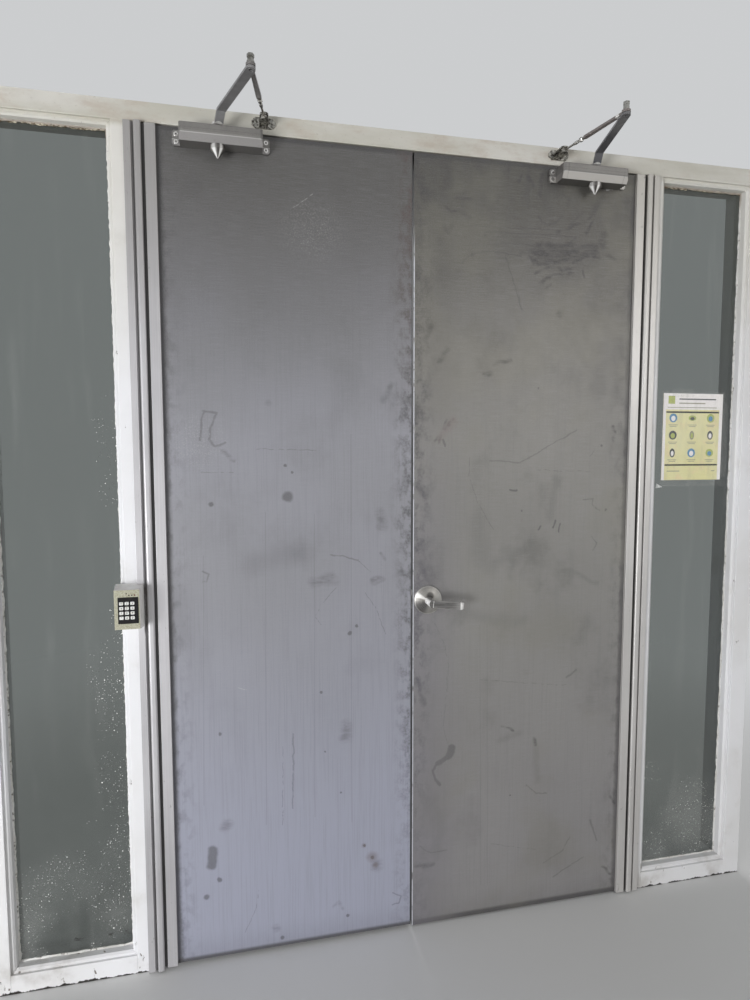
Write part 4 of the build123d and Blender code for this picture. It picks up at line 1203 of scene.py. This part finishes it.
def spindle_caps():
    """Smooth chrome cones under the closers, in place of the faceted solids."""
    for side, _ in SIDES:
        low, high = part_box(f"{side}_closer_spindle_cap")
        top = Vector(((low.x + high.x) / 2, (low.y + high.y) / 2, high.z))
        radius, collar, tip = (high.x - low.x) / 2, 0.011, 0.0018
        edge, tip_rounding = 0.001, 0.0016
        depth = high.z - low.z
        neck = radius * 0.94
        outline = [(0, 0), (neck, 0), (neck, 0.0012), (radius, 0.002), (radius, collar - edge)]
        outline += arc((radius - edge, collar - edge), edge, 0, 45, 3)
        outline += [(tip + edge, depth - 0.0012)]
        outline += arc((tip, depth - tip_rounding), tip_rounding, 30, 90, 4) + [(0, depth)]
        mesh = mesh_from(turned(outline, top, Matrix.Rotation(math.pi, 3, "X")), f"{side}_spindle_cone")
        smooth(mesh, 25)
        piece = placed(f"{side}_spindle_cone", mesh, f"{side}_door", "bright_chrome", cone_finish)
        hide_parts(f"{side}_closer_spindle_cap")


spindle_caps()


def key_digits():
    """Plain digits on the twelve keys."""
    low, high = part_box("keypad_keys")
    rows = ("123", "456", "789", "*0#")
    digit_height = 0.0068
    # Shares of the block of keys: the first key's middle, and the step to the next
    first_column, column_step, first_row, row_step = 0.131, 0.369, 0.087, 0.275
    shape = bmesh.new()
    for row, marks in enumerate(rows):
        for column, mark in enumerate(marks):
            text = bpy.data.curves.new("key digit", "FONT")
            text.body = mark
            text.size = digit_height
            text.align_x, text.align_y = "CENTER", "CENTER"
            text.resolution_u = 3
            holder = bpy.data.objects.new("key digit", text)
            mesh = bpy.data.meshes.new_from_object(holder)
            x = low.x + (high.x - low.x) * (first_column + column * column_step)
            z = high.z - (high.z - low.z) * (first_row + row * row_step)
            mesh.transform(Matrix.Translation((x, low.y - 0.0001, z)) @ Matrix.Rotation(math.pi / 2, 4, "X"))
            shape.from_mesh(mesh)
            bpy.data.objects.remove(holder)
            bpy.data.meshes.remove(mesh)
    digits = bpy.data.meshes.new("key_digits")
    shape.to_mesh(digits)
    shape.free()
    placed("key_digits", digits, "frame", "keypad_face", finishes["keypad_face"])


key_digits()


def keypad_lights():
    """Four small lenses over the panel, one of them red."""
    panel_low, panel_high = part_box("keypad_panel")
    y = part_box("keypad_case")[0].y
    lens_radius = 0.0017
    dark, red = lens("dark lens", srgb(44, 42, 40)), lens("red lens", srgb(150, 40, 34))
    for number, (share, rise, look) in enumerate(
        ((0.42, 0.0095, dark), (0.55, 0.0050, dark), (0.69, 0.0050, dark), (0.83, 0.0050, red))
    ):
        centre = Vector((panel_low.x + (panel_high.x - panel_low.x) * share, y + 0.0002, panel_high.z + rise))
        outline = [(0, 0), (lens_radius, 0)] + arc((0, 0), lens_radius, 0, 90, 6)[1:-1]
        outline += [(0, lens_radius)]
        mesh = mesh_from(turned(outline, centre, Matrix.Rotation(math.pi / 2, 3, "X"), 20), "keypad_lens")
        smooth(mesh, 40)
        placed(f"keypad_lens_{number + 1}", mesh, "frame", "keypad_face", look)


keypad_lights()


def flat_mesh(name, layers):
    """Flat shapes that face -Y. A layer is its finish's number, its y and its outlines, as (x, z) pairs."""
    shape = bmesh.new()
    for number, y, outlines in layers:
        for outline in outlines:
            face = shape.faces.new([shape.verts.new((x, y, z)) for x, z in outline])
            face.material_index = number
    mesh = bpy.data.meshes.new(name)
    shape.to_mesh(mesh)
    shape.free()
    return mesh


def oblong(x_low, x_high, z_low, z_high):
    return [(x_low, z_low), (x_high, z_low), (x_high, z_high), (x_low, z_high)]


def oval(x, z, half_width, half_height, sides=36):
    angles = [2 * math.pi * i / sides for i in range(sides)]
    return [(x + half_width * math.cos(a), z + half_height * math.sin(a)) for a in angles]


def notice_print():
    """The sheet's print: a pale head over a thick rule, nine plain tokens, and a foot under another rule."""
    low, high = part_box("notice_sheet")
    width, tall = high.x - low.x, high.z - low.z
    looks = (
        printed("white print", srgb(246, 242, 240), srgb(232, 226, 224)),
        printed("black print", srgb(26, 25, 22), srgb(48, 46, 40)),
        printed("grey print", srgb(150, 148, 128), srgb(176, 173, 146)),
        printed("green print", srgb(176, 186, 104), srgb(196, 202, 128)),
        printed("blue print", srgb(84, 136, 176), srgb(124, 166, 194)),
        printed("dark print", srgb(66, 70, 74), srgb(100, 102, 98)),
    )
    white, black, grey, green, blue, dark = range(len(looks))

    def bar(x_start, x_end, z_start, z_end):
        xs = (low.x + width * x_start, low.x + width * x_end)
        return oblong(*xs, low.z + tall * z_start, low.z + tall * z_end)

    def token(x_share, z_share, half_width, half_height):
        return oval(low.x + width * x_share, low.z + tall * z_share, half_width, half_height)

    under, over, top = low.y - 0.0002, low.y - 0.0003, low.y - 0.0004
    layers = [
        (white, under, [bar(0, 1, 0.815, 1), bar(0, 0.045, 0, 0.815), bar(0.945, 1, 0, 0.815)]),
        (green, over, [bar(0.08, 0.19, 0.88, 0.97)]),
        (dark, over, [bar(0.26, 0.88, 0.928, 0.942)]),
        (grey, over, [bar(0.26, 0.70, 0.882, 0.894), bar(0.07, 0.90, 0.835, 0.843)]),
        (black, over, [bar(0.05, 0.94, 0.776, 0.794), bar(0.05, 0.94, 0.166, 0.184)]),
        (grey, over, [bar(0.09, 0.30, 0.100, 0.108), bar(0.84, 0.90, 0.100, 0.108)]),
    ]
    big, small = 0.0142, 0.0085
    columns, rows = (0.17, 0.49, 0.80), (0.718, 0.520, 0.315)
    tokens = (
        (blue, white, big, big), (green, dark, big, small), (green, blue, big, big),
        (dark, green, big, big), (grey, green, small, big), (dark, white, 0.0105, big),
        (dark, white, 0.0095, big), (blue, white, big, big), (green, blue, big, 0.0125),
    )
    for number, (outer, inner, half_width, half_height) in enumerate(tokens):
        x, z = columns[number % 3], rows[number // 3]
        layers.append((outer, over, [token(x, z, half_width, half_height)]))
        layers.append((inner, top, [token(x, z - 0.006, half_width * 0.55, half_height * 0.60)]))
        layers.append((grey, over, [bar(x - 0.075, x + 0.075, z - 0.083, z - 0.077),
                                    bar(x - 0.055, x + 0.055, z - 0.100, z - 0.094)]))
    mesh = flat_mesh("notice_print", layers)
    placed("notice_print", mesh, "frame", "notice_paper", *looks)


notice_print()


def frosted_tape():
    """White, half-clear tape, creased."""
    f = Finish("frosted tape")
    creased = f.grain(120, 5, stretch=(1, 1, 0.4))
    f.feed(f.shader.inputs["Alpha"], f.spread(f.grade(creased, 0.3, 0.7), 0.85, 0.55))
    return f.finish(srgb(236, 238, 236), f.spread(creased, 0.3, 0.5))


def notice_sleeve():
    """The clear sleeve over the sheet, with tape along its right side and a torn corner at its foot."""
    low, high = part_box("notice_sheet")
    margin, foot_margin, tape_width, rise = 0.006, 0.020, 0.016, 0.0007
    sleeve = oblong(low.x - margin, high.x + margin, low.z - foot_margin, high.z + margin)
    edge = high.x + margin
    tape = oblong(edge - tape_width * 0.4, edge + tape_width, low.z + 0.01, high.z - 0.03)
    strip = oblong(low.x + 0.03, low.x + 0.11, high.z - 0.012, high.z + 0.014)
    hem = oblong(low.x - margin, high.x + margin, low.z - foot_margin, low.z - foot_margin + 0.003)
    corner = [(low.x - 0.020, low.z - 0.026), (low.x + 0.004, low.z - 0.022), (low.x - 0.018, low.z - 0.010)]
    layers = [(0, low.y - rise, [sleeve]), (0, low.y - rise - 0.0002, [tape, strip, hem])]
    mesh = flat_mesh("notice_sleeve", layers + [(1, low.y - rise - 0.0004, [corner])])
    placed("notice_sleeve", mesh, "frame", "notice_paper", clear_film(), frosted_tape())


notice_sleeve()


# Camera, light and floor

def set_camera():
    """The photograph's camera, found from the door's straight edges."""
    camera = bpy.data.cameras.new("camera")
    camera.lens = 22.58
    camera.sensor_width = 36
    camera.sensor_fit = "AUTO"
    holder = bpy.data.objects.new("camera", camera)
    holder.location = (-0.4957, -1.8047, -0.8821)
    holder.rotation_euler = Euler([math.radians(a) for a in (85.535, 0.083, -12.432)], "XYZ")
    bpy.context.scene.collection.objects.link(holder)
    bpy.context.scene.camera = holder


def area_light(name, place, aim, size, power, colour=(1, 1, 1)):
    light = bpy.data.lights.new(name, "AREA")
    light.shape = "RECTANGLE"
    light.size, light.size_y = size
    light.energy = power
    light.color = colour
    holder = bpy.data.objects.new(name, light)
    holder.location = place
    holder.rotation_mode = "QUATERNION"
    holder.rotation_quaternion = (Vector(aim) - Vector(place)).to_track_quat("-Z", "Y")
    holder.visible_camera = False
    holder.visible_transmission = False
    bpy.context.scene.collection.objects.link(holder)


def set_lights():
    area_light("key light", (-3.4, -3.2, -1.7), (-0.1, 0.0, -1.3), (1.6, 1.4), 150, (0.98, 0.985, 1.0))
    area_light("fill light", (2.2, -3.4, -0.1), (0.1, 0.0, -1.2), (1.7, 1.7), 30, (1.0, 0.98, 0.95))
    area_light("back light", (1.0, 4.4, 0.4), (0.0, 0.0, -1.2), (2.4, 2.0), 110)


def seen_or_mirrored(tree):
    """1 where a ray comes from the camera, a mirror-like surface or through glass."""
    paths = tree.nodes.new("ShaderNodeLightPath")
    total = paths.outputs["Is Camera Ray"]
    for name in ("Is Glossy Ray", "Is Transmission Ray"):
        node = tree.nodes.new("ShaderNodeMath")
        node.operation = "MAXIMUM"
        tree.links.new(total, node.inputs[0])
        tree.links.new(paths.outputs[name], node.inputs[1])
        total = node.outputs[0]
    return total


backdrop = (0.60, 0.61, 0.62, 1)


def set_world():
    world = bpy.data.worlds.new("studio")
    bpy.context.scene.world = world
    world.use_nodes = True
    tree = world.node_tree
    ambient = tree.nodes["Background"]
    ambient.inputs["Color"].default_value = (0.95, 0.97, 1.0, 1)
    ambient.inputs["Strength"].default_value = 0.28
    shown = tree.nodes.new("ShaderNodeBackground")
    shown.inputs["Color"].default_value = backdrop
    shown.inputs["Strength"].default_value = 1.0
    mix = tree.nodes.new("ShaderNodeMixShader")
    tree.links.new(seen_or_mirrored(tree), mix.inputs[0])
    tree.links.new(ambient.outputs[0], mix.inputs[1])
    tree.links.new(shown.outputs[0], mix.inputs[2])
    tree.links.new(mix.outputs[0], tree.nodes["World Output"].inputs["Surface"])


def set_floor():
    """A pale floor that runs out softly into the backdrop."""
    reach = 30.0
    run_out_start, run_out_end = 2.6, 4.2
    corners = [(x * reach, y * reach, floor_z) for x, y in ((-1, -1), (1, -1), (1, 1), (-1, 1))]
    mesh = bpy.data.meshes.new("studio_floor")
    mesh.from_pydata(corners, [], [(0, 1, 2, 3)])
    floor = bpy.data.objects.new("studio_floor", mesh)
    bpy.context.scene.collection.objects.link(floor)
    f = Finish("studio floor")
    faint = f.grain(0.8, 3)
    mesh.materials.append(f.finish(f.blend(faint, (0.70, 0.70, 0.69, 1), (0.74, 0.74, 0.73, 1)), 0.6))
    away = f.vector_math("LENGTH", f.place, output=1)
    far = f.times(f.grade(away, run_out_start, run_out_end), seen_or_mirrored(f.tree))
    run_out = f.add("ShaderNodeEmission", Color=backdrop)
    mix = f.add("ShaderNodeMixShader", Fac=far)
    f.tree.links.new(f.shader.outputs[0], mix.inputs[1])
    f.tree.links.new(run_out.outputs[0], mix.inputs[2])
    f.tree.links.new(mix.outputs[0], f.tree.nodes["Material Output"].inputs["Surface"])


set_camera()
set_lights()
set_world()
set_floor()
bpy.context.scene.view_settings.view_transform = "Standard"
